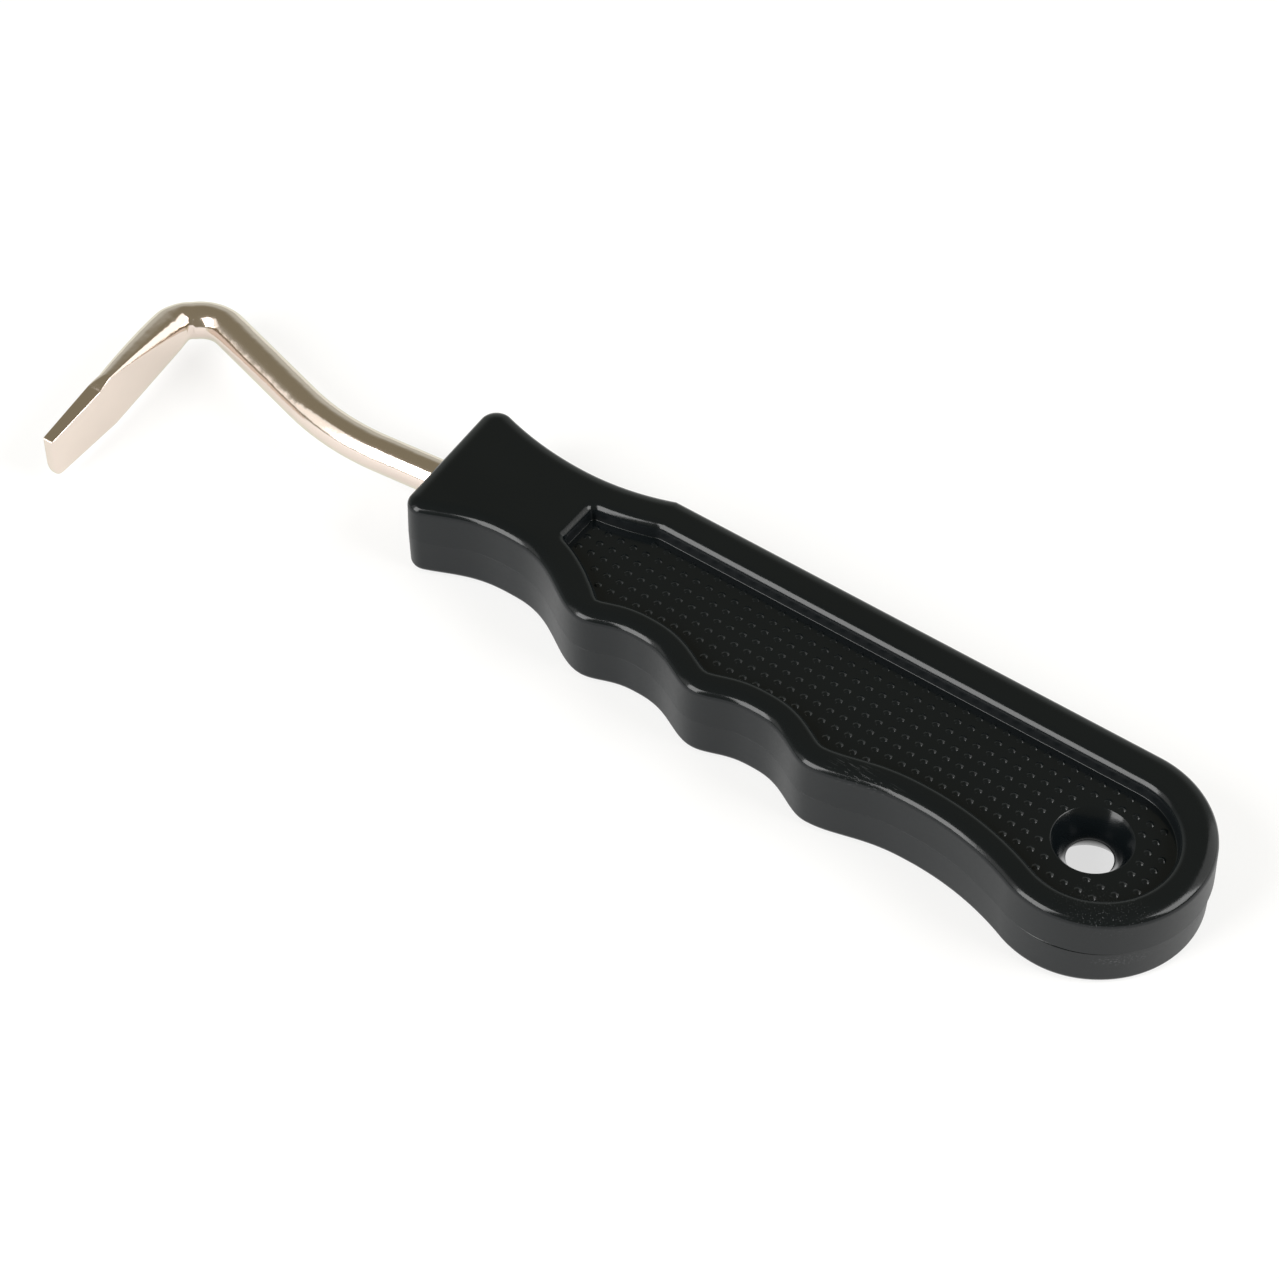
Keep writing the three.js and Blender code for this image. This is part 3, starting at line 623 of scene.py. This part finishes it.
def rod_path(step):
    """The rod's centre line: straights joined by arcs that are tangent to both. Returns points
    and unit headings, from the tang's inner end."""
    points, headings = [], []
    start = ROD_CORNERS[0, :2]
    for index in range(1, len(ROD_CORNERS)):
        corner, radius = ROD_CORNERS[index, :2], ROD_CORNERS[index, 2]
        heading = (corner - start) / np.hypot(*(corner - start))
        turn = 0.0
        if index + 1 < len(ROD_CORNERS):
            leave = ROD_CORNERS[index + 1, :2] - corner
            leave = leave / np.hypot(*leave)
            turn = math.atan2(heading[0] * leave[1] - heading[1] * leave[0], heading @ leave)
        end = corner - heading * radius * math.tan(abs(turn) / 2)
        share = np.linspace(0, 1, max(2, int(np.hypot(*(end - start)) / step)))[:, None]
        points.append(lerp(start, end, share)[:-1])
        headings.append(np.repeat(heading[None], len(share) - 1, axis=0))
        if turn:
            side = np.array([-heading[1], heading[0]]) * np.sign(turn)
            centre = end + side * radius
            angle = np.linspace(0, turn, max(2, int(abs(turn) / math.radians(1.5))))
            cos, sin = np.cos(angle)[:, None], np.sin(angle)[:, None]
            normal = np.array([[-heading[1], heading[0]]])
            bend = centre - side * radius * cos + heading * radius * sin * np.sign(turn)
            points.append(bend[:-1])
            headings.append((heading * cos + normal * sin)[:-1])
            start = bend[-1]
        else:
            points.append(end[None])
            headings.append(heading[None])
    return np.concatenate(points), np.concatenate(headings)


def rounded_section(left, right, up, down, corners, steps):
    """Points round a rectangle with elliptic corners: each corner is a quarter turn about its own
    centre, as wide and as tall as corners give it, from the upper left one clockwise. Arrays of
    sizes give one section for each station."""
    quarter = np.linspace(0, np.pi / 2, steps)
    cos, sin = np.cos(quarter), np.sin(quarter)
    signs = ((1, 1, cos, sin), (-1, 1, sin, cos), (-1, -1, cos, sin), (1, -1, sin, cos))
    across, rise = [], []
    for (sign_x, sign_z, first, second), (wide, tall) in zip(signs, corners):
        reach = left if sign_x > 0 else right
        height = up if sign_z > 0 else down
        across.append(sign_x * ((reach - wide)[:, None] + wide[:, None] * first))
        rise.append(sign_z * ((height - tall)[:, None] + tall[:, None] * second))
    return np.concatenate(across, axis=1), np.concatenate(rise, axis=1)


def steel_hook(sizes):
    """The whole rod: a rounded section carried along rod_path. It is round on the rod and flat on
    the tang's spade. From the middle of the bend it is pressed evenly to a blade whose inner face
    lies in one plane, and from the shoulder to the tip its upper edge is trimmed to a flat."""
    radius = sizes.rod_radius / MM
    points, headings = rod_path(ROD_STEP)
    shoulder_y = sizes.shoulder_y / MM
    bend, tip_y = ROD_CORNERS[3], ROD_CORNERS[4, 1]
    on_arm = (points[:, 0] < bend[0] + 1e-6) & (points[:, 1] < bend[1] - bend[2] + 1e-6)
    first = int(np.flatnonzero(on_arm)[0])
    ramp = shoulder_y - SHOULDER_RAMP * np.linspace(-0.05, 1.05, 12)
    tip_run = tip_y + TIP_RUN * np.linspace(1, 0, 22) ** 2.2
    arm_y = np.concatenate([points[first:-1, 1], ramp, tip_run])
    arm_y = np.unique(np.round(arm_y[arm_y >= tip_y], 3))[::-1]
    arm = np.stack([np.full_like(arm_y, bend[0]), arm_y], axis=1)
    points = np.concatenate([points[:first], arm])
    headings = np.concatenate([headings[:first], np.repeat([[0.0, -1.0]], len(arm), axis=0)])
    count = len(points)
    x, y = points.T
    along = np.concatenate([[0], np.cumsum(np.hypot(*np.diff(points, axis=0).T))])
    past_bend = along - along[first]
    on_arm = np.arange(count) >= first

    press = np.clip((past_bend + PRESS_LEAD) / (points[first, 1] - shoulder_y + PRESS_LEAD), 0, 1)
    trim = np.where(on_arm, np.clip((shoulder_y - y) / (shoulder_y - tip_y), 0, 1), 0.0)
    cut = np.where(on_arm, np.clip((shoulder_y - y) / SHOULDER_RAMP, 0, 1), 0.0)
    thin = np.clip((THIN_START - y) / (THIN_START - shoulder_y), 0, 1)
    thin = np.where(on_arm | (past_bend > -PRESS_LEAD), thin, 0.0)
    thickness = lerp(2 * radius, sizes.blade_root / MM, thin**1.2)
    thickness = lerp(thickness, sizes.blade_tip / MM, trim)
    angle = np.clip(-past_bend / bend[2], 0, 1.2)
    plane = bend[2] - (bend[2] - radius) / np.cos(angle)
    lead = PRESS_LEAD / bend[2]
    left = lerp(plane, radius, smoothstep(angle, lead * 0.55, lead))
    right = thickness - radius
    up = lerp(sizes.shoulder_reach / MM, radius, (1 - press) ** 1.25)
    up = lerp(up, lerp(sizes.trim_reach / MM, sizes.tip_reach / MM, trim), cut)
    down = lerp(radius, sizes.lower_reach / MM, press)

    def set_back(size):
        """How far a rounding of the given size at the tip sets the section back."""
        return np.where(on_arm, arc_rise(size, np.clip(size - (y - tip_y), 0, size)), 0.0)

    down = down - set_back(TIP_ROUND)
    nose = set_back(NOSE_ROUND)
    spade = smoothstep(x, TANG_END - SPADE_LENGTH, TANG_END - SPADE_LENGTH / 2)
    left, right = (lerp(reach, SPADE_HALF_WIDTH, spade) - nose for reach in (left, right))
    up, down = (lerp(reach, SPADE_HALF_THICKNESS, spade) - nose for reach in (up, down))
    half_width, half_height = (left + right) / 2, (up + down) / 2
    corners = []
    for index, rounds in enumerate(BLADE_ROUNDS):
        wide, tall = (lerp(radius, size, press) for size in rounds)
        if index < 2:
            wide, tall = lerp(wide, TRIM_ROUND, cut), lerp(tall, TRIM_ROUND, cut)
        wide, tall = lerp(wide, SPADE_ROUND, spade), lerp(tall, SPADE_ROUND, spade)
        # The blade's outer upper corner may take up three quarters of its width.
        broad = on_arm & (press > 0.2) & (index == 1)
        most = np.where(broad, 1.5 * half_width, half_width)
        corners.append((np.minimum(wide, most - 0.004), np.minimum(tall, half_height - 0.004)))
    across, rise = rounded_section(left, right, up, down, corners, CORNER_STEPS)

    side = np.stack([-headings[:, 1], headings[:, 0]], axis=1)
    flat = points[:, None] + across[..., None] * side[:, None]
    rings = np.concatenate([flat, rise[..., None]], axis=2)
    around = rings.shape[1]
    body, quads = strip(list(rings), closed=True)
    ends = np.array([[*points[0], 0.0], [*points[-1], 0.0]])
    ends[1, 0] += (left[-1] - right[-1]) / 2
    first_cap = fan(0, around, len(body))[:, [1, 0, 2]]
    last_cap = fan(len(body) - around, around, len(body) + 1)
    along_cm = along * 0.1
    path_map = np.stack(np.broadcast_arrays(along_cm[:, None], np.arange(around) / around), axis=2)
    path_map = np.concatenate([path_map.reshape(-1, 2), [[0, 0.5], [along_cm[-1], 0.5]]])
    faces = quads.tolist() + first_cap.tolist() + last_cap.tolist()
    return np.concatenate([body, ends]), faces, path_map


# ---- Materials ----


class Wire:
    """A node's output socket. Arithmetic on it adds Math nodes."""

    def __init__(self, nodes, socket):
        self.nodes = nodes
        self.socket = socket

    def __add__(self, other):
        return self.nodes.math("ADD", self, other)

    __radd__ = __add__

    def __sub__(self, other):
        return self.nodes.math("SUBTRACT", self, other)

    def __rsub__(self, other):
        return self.nodes.math("SUBTRACT", other, self)

    def __mul__(self, other):
        return self.nodes.math("MULTIPLY", self, other)

    __rmul__ = __mul__

    def ramp(self, low, high):
        """0 below low, 1 above high, smooth in between. low may be the greater."""
        if low > high:
            return 1 - self.ramp(high, low)
        settings = {"interpolation_type": "SMOOTHSTEP"}
        return self.nodes.node("ShaderNodeMapRange", settings, {0: self, 1: low, 2: high})[0]


class Nodes:
    """A node tree while it is being built."""

    def __init__(self, tree):
        self.tree = tree

    def node(self, kind, settings=None, values=None):
        """Adds a node, sets its settings, then its input values or links. Returns its outputs."""
        made = self.tree.nodes.new(kind)
        for key, value in (settings or {}).items():
            setattr(made, key, value)
        for key, value in (values or {}).items():
            if isinstance(value, Wire):
                self.tree.links.new(value.socket, made.inputs[key])
            else:
                made.inputs[key].default_value = value
        return [Wire(self, output) for output in made.outputs]

    def math(self, operation, *values):
        """A Math node on numbers or wires."""
        return self.node("ShaderNodeMath", {"operation": operation}, dict(enumerate(values)))[0]

    def coordinates(self, output):
        """One output of a Texture Coordinate node, by its name."""
        return Wire(self, self.tree.nodes.new("ShaderNodeTexCoord").outputs[output])

    def height_of(self, vector):
        """A vector's Z."""
        return self.node("ShaderNodeSeparateXYZ", None, {0: vector})[2]

    def mix(self, factor, first, second):
        """A colour mix; first and second are colours or wires."""
        values = {0: factor, 6: first, 7: second}
        return self.node("ShaderNodeMix", {"data_type": "RGBA"}, values)[2]


class Paint(Nodes):
    """A material's nodes. constants are values of the shader's own sockets, by name."""

    def __init__(self, name, **constants):
        self.material = bpy.data.materials.new(name)
        self.material.use_nodes = True
        super().__init__(self.material.node_tree)
        self.shader = self.tree.nodes["Principled BSDF"]
        for socket, value in constants.items():
            self.shader.inputs[socket.replace("_", " ")].default_value = value

    def feed(self, socket, wire):
        """Links a wire to one of the shader's sockets."""
        self.tree.links.new(wire.socket, self.shader.inputs[socket])

    def place(self, centre=(0, 0, 0), scale=(1, 1, 1), turn=(0, 0, 0)):
        """Coordinates in millimetres from a centre in the maker's frame, turned and then scaled."""
        values = {0: self.coordinates("Object"), 1: carry(np.array(centre, float)).tolist()}
        shift = self.node("ShaderNodeVectorMath", {"operation": "SUBTRACT"}, values)[0]
        values = {0: shift, 2: turn, 3: [factor / MM for factor in scale]}
        return self.node("ShaderNodeMapping", {"vector_type": "POINT"}, values)[0]

    def path(self, scale):
        """The piece's own map: along its length and round it, scaled."""
        source = self.node("ShaderNodeUVMap", {"uv_map": "along_and_round"})[0]
        return self.node("ShaderNodeMapping", None, {0: source, 3: scale})[0]

    def noise(self, vector, detail=3.0, roughness=0.55):
        """Noise with features about one unit wide, from about 0 to 1."""
        values = {"Vector": vector, "Scale": 1.0, "Detail": detail, "Roughness": roughness}
        return self.node("ShaderNodeTexNoise", None, values)[0]

    def uprightness(self):
        """1 where the surface stands upright, falling to 0 where it lies flat."""
        height = self.height_of(self.coordinates("Normal"))
        return self.math("ABSOLUTE", height).ramp(0.5, 0.2)

    def spot(self, centre, radius):
        """1 at a place in the maker's frame, falling to 0 at the given radii in x, y and z."""
        at = self.place(centre, [1 / size for size in radius])
        away = self.node("ShaderNodeVectorMath", {"operation": "LENGTH"}, {0: at})[1]
        return away.ramp(1.0, 0.35)

    def bump(self, height, distance, strength=1.0, normal=None):
        """A bump from a height that spans the given distance in metres."""
        values = {"Height": height, "Distance": distance, "Strength": strength}
        if normal is not None:
            values["Normal"] = normal
        return self.node("ShaderNodeBump", None, values)[0]


SCUFFED_PLASTIC = (0.07, 0.073, 0.077, 1)
PITTED_STEEL = (0.35, 0.31, 0.26, 1)
PLATING_EDGE_TINT = (0.8, 0.86, 0.76, 1)


def black_plastic(look):
    """Moulded black plastic: a fine satin skin, faint flow marks, small scuffs and specks."""
    paint = Paint("moulded_plastic", IOR=1.36)
    skin = paint.noise(paint.place(scale=(1.6, 1.6, 1.6)), detail=5.0, roughness=0.62)
    flow = paint.noise(paint.place(scale=(0.05, 0.14, 0.14)), detail=2.0)
    grain = paint.noise(paint.place(scale=(7, 7, 7)), detail=2.0)
    lines = paint.noise(paint.place(scale=(0.12, 5, 5)), detail=3.0, roughness=0.6)
    specks = grain.ramp(0.66, 0.7) * paint.spot((6, -9.5, 5), (9, 6, 3))
    streaks = paint.noise(paint.place(scale=(0.45, 5, 5), turn=(0, 0, 0.5)), detail=3.0)
    rubbed = paint.spot((13.6, -0.5, -0.6), (5, 8, 2)) + paint.spot((9, -9, -1.4), (6, 5, 1.4))
    scuffs = streaks.ramp(0.54, 0.66) * rubbed
    threads = paint.noise(paint.place(scale=(0.5, 7, 7), turn=(0.25, 0.2, 0.12)), detail=2.0)
    scratches = threads.ramp(0.6, 0.66) * paint.spot((-27, -10, 5.6), (7, 2.5, 1.5))
    worn = paint.math("MINIMUM", scuffs + specks + scratches * 0.6, 1.0)
    base = paint.mix(flow, (*look.plastic_dark, 1), (*look.plastic_light, 1))
    paint.feed("Base Color", paint.mix(worn * 0.8, base, SCUFFED_PLASTIC))
    satin = look.plastic_roughness - 0.04 + skin * 0.08
    paint.feed("Roughness", satin + worn * 0.25 + paint.uprightness() * look.wall_roughness)
    ripple = paint.bump(flow, 0.0001, 0.3)
    drawn = paint.bump(lines, 0.000008, 0.6, ripple)
    fine = paint.bump(skin, 0.000008, 0.6, drawn)
    paint.feed("Normal", paint.bump(worn, 0.00002, 0.5, fine))
    return paint.material


def plated_steel(look):
    """Warm bright plating over drawn rod: faint waves, fine lines along it, small pits."""
    paint = Paint("bright_plating", Metallic=1.0, Specular_Tint=PLATING_EDGE_TINT)
    waves = paint.noise(paint.place(scale=(0.35, 0.35, 0.35)), detail=2.0)
    lines = paint.noise(paint.path((30, 60, 1)), detail=4.0, roughness=0.7)
    pits = paint.noise(paint.place(scale=(5, 5, 5)), detail=3.0).ramp(0.7, 0.78)
    base = paint.mix(waves, (*look.steel_cool, 1), (*look.steel_warm, 1))
    paint.feed("Base Color", paint.mix(pits * 0.25, base, PITTED_STEEL))
    paint.feed("Roughness", look.steel_roughness - 0.03 + lines * 0.06 + pits * 0.15)
    soft = paint.bump(waves, 0.0003, 0.25)
    fine = paint.bump(lines, 0.000012, 0.4, soft)
    paint.feed("Normal", paint.bump(pits, 0.00001, 0.4, fine))
    return paint.material


def pale_floor(look):
    """A plain pale matt floor with the faintest mottling, which gives off a little light."""
    paint = Paint(
        "pale_floor",
        Roughness=0.9,
        Emission_Color=(1, 1, 1, 1),
        Emission_Strength=look.floor_glow,
    )
    mottle = paint.noise(paint.place(scale=(0.02, 0.02, 0.02)), detail=2.0)
    pale, darker = look.floor_tone, look.floor_tone * 0.99
    paint.feed("Base Color", paint.mix(mottle, (pale, pale, pale, 1), (darker, darker, darker, 1)))
    return paint.material


# ---- Settings ----


def number(name, description, default, **more):
    """A property that holds one number."""
    return bpy.props.FloatProperty(name=name, description=description, default=default, **more)


def length(name, description, millimetres):
    """A length property whose default is given in millimetres."""
    return number(name, description, millimetres * MM, unit="LENGTH", precision=5)


def colour(name, description, default):
    """A colour property."""
    return bpy.props.FloatVectorProperty(
        name=name, description=description, default=default, size=3, min=0, max=1, subtype="COLOR"
    )


def share_of_one(name, description, default):
    """A property between 0 and 1."""
    return number(name, description, default, min=0, max=1, subtype="FACTOR")


class SizesOfHandle(bpy.types.PropertyGroup):
    """Sizes of the handle halves and of the studs on their grip panels."""

    rim_crown: length("Rim crown", "Gentle rounding of the outer part of each rim", 2.9)
    rim_fillet: length("Rim fillet", "Rounding of the outer edge of each half", 1.05)
    panel_lip: length("Panel lip", "Rounding of the grip panel's upper edge", 1.2)
    panel_depth: length("Panel depth", "How far the grip panel is sunk", 2.4)
    hole_neck_radius: length("Hole neck radius", "Hang hole's radius at the seam", 2.95)
    hole_mouth_radius: length("Hole mouth radius", "Hang hole's radius at the panel floor", 4.95)
    rod_radius: length("Rod radius", "Radius of the rod that the front end is notched for", 2.5)
    wall: length("Wall", "Plastic between the outside and the hollow inside", 2.0)
    seam_bevel: length("Seam bevel", "Edge break of each half along the seam at the butt", 0.16)
    seam_mismatch: length("Seam mismatch", "How far the lower half is set back at the butt", 0.3)
    stud_pitch_x: length("Stud pitch along", "From one stud to the next along the handle", 1.94)
    stud_pitch_y: length("Stud pitch across", "From one row of studs to the next", 1.9)
    stud_radius: length("Stud radius", "Radius of one stud", 0.5)
    stud_height: length("Stud height", "Height of one stud above the panel floor", 0.21)


class SizesOfHook(bpy.types.PropertyGroup):
    """Sizes of the steel rod and of the blade at its end."""

    rod_radius: length("Rod radius", "Radius of the round rod", 2.5)
    shoulder_y: length("Shoulder", "Where the trimmed part of the blade begins", -10.5)
    blade_root: length("Blade root", "Blade thickness at the shoulder", 2.2)
    blade_tip: length("Blade tip", "Blade thickness at the tip", 1.6)
    shoulder_reach: length("Shoulder reach", "Half width above the seam before the trim", 4.5)
    trim_reach: length("Trim reach", "Half width above the seam after the trim", 3.9)
    tip_reach: length("Tip reach", "Half width above the seam at the tip", 2.4)
    lower_reach: length("Lower reach", "Half width below the seam", 4.4)


class Look(bpy.types.PropertyGroup):
    """Colours, finishes and stage."""

    plastic_dark: colour("Plastic dark", "Darker tone of the plastic", (0.0028, 0.0042, 0.0052))
    plastic_light: colour("Plastic light", "Lighter tone of the plastic", (0.0042, 0.0058, 0.0068))
    plastic_roughness: share_of_one("Plastic roughness", "Roughness of the moulded skin", 0.16)
    wall_roughness: share_of_one("Wall roughness", "Roughness that upright walls add", 0.22)
    steel_cool: colour("Steel cool", "Cooler tone of the plating", (0.76, 0.665, 0.6))
    steel_warm: colour("Steel warm", "Warmer tone of the plating", (0.8, 0.69, 0.62))
    steel_roughness: share_of_one("Steel roughness", "Roughness of the plating", 0.14)
    floor_tone: share_of_one("Floor tone", "How pale the floor is", 0.3)
    floor_glow: number("Floor glow", "Light that the floor gives off", 0.68, min=0, max=4)
    lens: number("Lens", "Focal length of the camera", 112.83, min=1, unit="CAMERA")


# ---- Operators ----


def material_of(name, maker):
    """A material by name, made when it is first asked for."""
    return bpy.data.materials.get(name) or maker(bpy.context.scene.hoof_pick_look)


class HOOFPICK_OT_handle_halves(bpy.types.Operator):
    """Build the two moulded halves of the handle"""

    bl_idname = "hoof_pick.handle_halves"
    bl_label = "Handle halves"

    def execute(self, context):
        sizes = context.scene.hoof_pick_handle
        plastic = material_of("moulded_plastic", black_plastic)
        points, faces = half_shell(sizes)
        lower = points * [1, 1, -1]
        lower[:, 0] -= sizes.seam_mismatch / MM * smoothstep(points[:, 0], *MISMATCH_RUN)
        turned = [face[::-1] for face in faces]
        for half, *mesh in (("upper", points, faces), ("lower", lower, turned)):
            node = [f"{half}_handle_shell"]
            add_mesh(f"{half}_handle_half", *mesh, plastic, "black_plastic", node)
        return {"FINISHED"}


class HOOFPICK_OT_studs(bpy.types.Operator):
    """Build the grip studs on both panels"""

    bl_idname = "hoof_pick.studs"
    bl_label = "Grip studs"

    def execute(self, context):
        sizes = context.scene.hoof_pick_handle
        plastic = material_of("moulded_plastic", black_plastic)
        for name, face in (("upper_grip_studs", 1), ("lower_grip_studs", -1)):
            points, faces = panel_studs(sizes, face)
            add_mesh(name, points, faces, plastic, "black_plastic")
        return {"FINISHED"}


class HOOFPICK_OT_steel_hook(bpy.types.Operator):
    """Build the bent steel rod with its blade"""

    bl_idname = "hoof_pick.steel_hook"
    bl_label = "Steel hook"

    def execute(self, context):
        points, faces, path_map = steel_hook(context.scene.hoof_pick_hook)
        steel = material_of("bright_plating", plated_steel)
        node = ["steel_hook"]
        add_mesh("bent_steel_hook", points, faces, steel, "plated_steel", node, path_map)
        return {"FINISHED"}


# Name, direction and height in degrees, distance and size in metres, and radiance of each light.
LIGHTS = (
    ("key", -111, 31, 0.9, (0.46, 0.8), 8.6),
    ("key_edge", -136, 31, 0.95, (0.4, 0.8), 0.95),
    ("side", 16, 34, 0.9, (0.48, 0.56), 7.0),
    ("wash", 52, 27, 1.15, (0.95, 1.0), 1.35),
)
SURROUND_TONE = (0.25, 0.23, 0.165, 1)
HORIZON_TONE = (0.6, 0.62, 0.57, 1)
BEHIND = (-0.72, 0.69, 0.0)
FLOOR_HALF = 3.0
SENSOR_WIDTH = 36
CAMERA_PLACE = (123.272, -266.840, 382.552)  # in the maker's frame, millimetres
CAMERA_SIDE = (-54.48, 49.80)  # direction and height that it looks from, degrees


def away(direction, height):
    """The unit vector at a direction round the tool, anticlockwise from +X, and a height above the
    floor, both in degrees."""
    turn, rise = math.radians(direction), math.radians(height)
    across = math.cos(rise)
    return Vector((math.cos(turn) * across, math.sin(turn) * across, math.sin(rise)))


def area_light(name, direction, height, distance, size, radiance):
    """A soft rectangular light aimed at the tool. Its power is radiance * area * pi."""
    data = bpy.data.lights.new(name, "AREA")
    data.shape = "RECTANGLE"
    data.size, data.size_y = size
    data.energy = radiance * size[0] * size[1] * math.pi
    light = put_in_scene(name, data)
    light.location = away(direction, height) * distance
    light.rotation_euler = away(direction, height).to_track_quat("Z", "Y").to_euler()


def studio_surround():
    """A dim warm surround that grows lighter towards the horizon behind the tool."""
    world = bpy.data.worlds.new("studio")
    world.use_nodes = True
    nodes = Nodes(world.node_tree)
    direction = nodes.coordinates("Generated")
    values = {0: direction, 1: BEHIND}
    behind = nodes.node("ShaderNodeVectorMath", {"operation": "DOT_PRODUCT"}, values)[1]
    light = behind.ramp(0.0, 0.6) * nodes.height_of(direction).ramp(0.68, 0.3)
    tone = nodes.mix(light, SURROUND_TONE, HORIZON_TONE)
    nodes.tree.links.new(tone.socket, nodes.tree.nodes["Background"].inputs["Color"])
    return world


class HOOFPICK_OT_stage(bpy.types.Operator):
    """Build the pale floor, the soft lights and the camera"""

    bl_idname = "hoof_pick.stage"
    bl_label = "Stage"

    def execute(self, context):
        look = context.scene.hoof_pick_look
        corners = FLOOR_HALF * np.array([(-1, -1, 0), (1, -1, 0), (1, 1, 0), (-1, 1, 0)])
        mesh = bpy.data.meshes.new("floor")
        mesh.from_pydata(corners.tolist(), [], [(0, 1, 2, 3)])
        mesh.materials.append(material_of("pale_floor", pale_floor))
        floor = put_in_scene("floor", mesh)

        for light in LIGHTS:
            area_light(*light)
        context.scene.world = studio_surround()

        data = bpy.data.cameras.new("camera")
        data.sensor_width = SENSOR_WIDTH
        data.lens = look.lens
        data.clip_start, data.clip_end = 0.01, 20
        camera = put_in_scene("camera", data)
        camera.location = carry(np.array(CAMERA_PLACE)).tolist()
        camera.rotation_euler = away(*CAMERA_SIDE).to_track_quat("Z", "Y").to_euler()
        context.scene.camera = camera
        context.scene.view_settings.view_transform = "Standard"
        return {"FINISHED"}


class HOOFPICK_PT_panel(bpy.types.Panel):
    """Lists the pieces in the 3D view's sidebar"""

    bl_label = "Hoof pick"
    bl_idname = "HOOFPICK_PT_panel"
    bl_space_type = "VIEW_3D"
    bl_region_type = "UI"
    bl_category = "Hoof pick"

    def draw(self, context):
        for key, group in GROUPS.items():
            box = self.layout.box()
            for name in group.__annotations__:
                box.prop(getattr(context.scene, key), name)
        for operator in OPERATORS:
            self.layout.operator(operator.bl_idname)


OPERATORS = (
    HOOFPICK_OT_handle_halves,
    HOOFPICK_OT_studs,
    HOOFPICK_OT_steel_hook,
    HOOFPICK_OT_stage,
)
GROUPS = {"hoof_pick_handle": SizesOfHandle, "hoof_pick_hook": SizesOfHook, "hoof_pick_look": Look}
CLASSES = (*GROUPS.values(), *OPERATORS, HOOFPICK_PT_panel)


def register():
    for item in CLASSES:
        bpy.utils.register_class(item)
    for name, group in GROUPS.items():
        setattr(bpy.types.Scene, name, bpy.props.PointerProperty(type=group))


def unregister():
    for name in GROUPS:
        delattr(bpy.types.Scene, name)
    for item in reversed(CLASSES):
        bpy.utils.unregister_class(item)


def main():
    """Registers the add-on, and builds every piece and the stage."""
    register()
    bpy.ops.hoof_pick.handle_halves()
    bpy.ops.hoof_pick.studs()
    bpy.ops.hoof_pick.steel_hook()
    bpy.ops.hoof_pick.stage()
    bpy.context.view_layer.update()


if __name__ == "__main__":
    main()
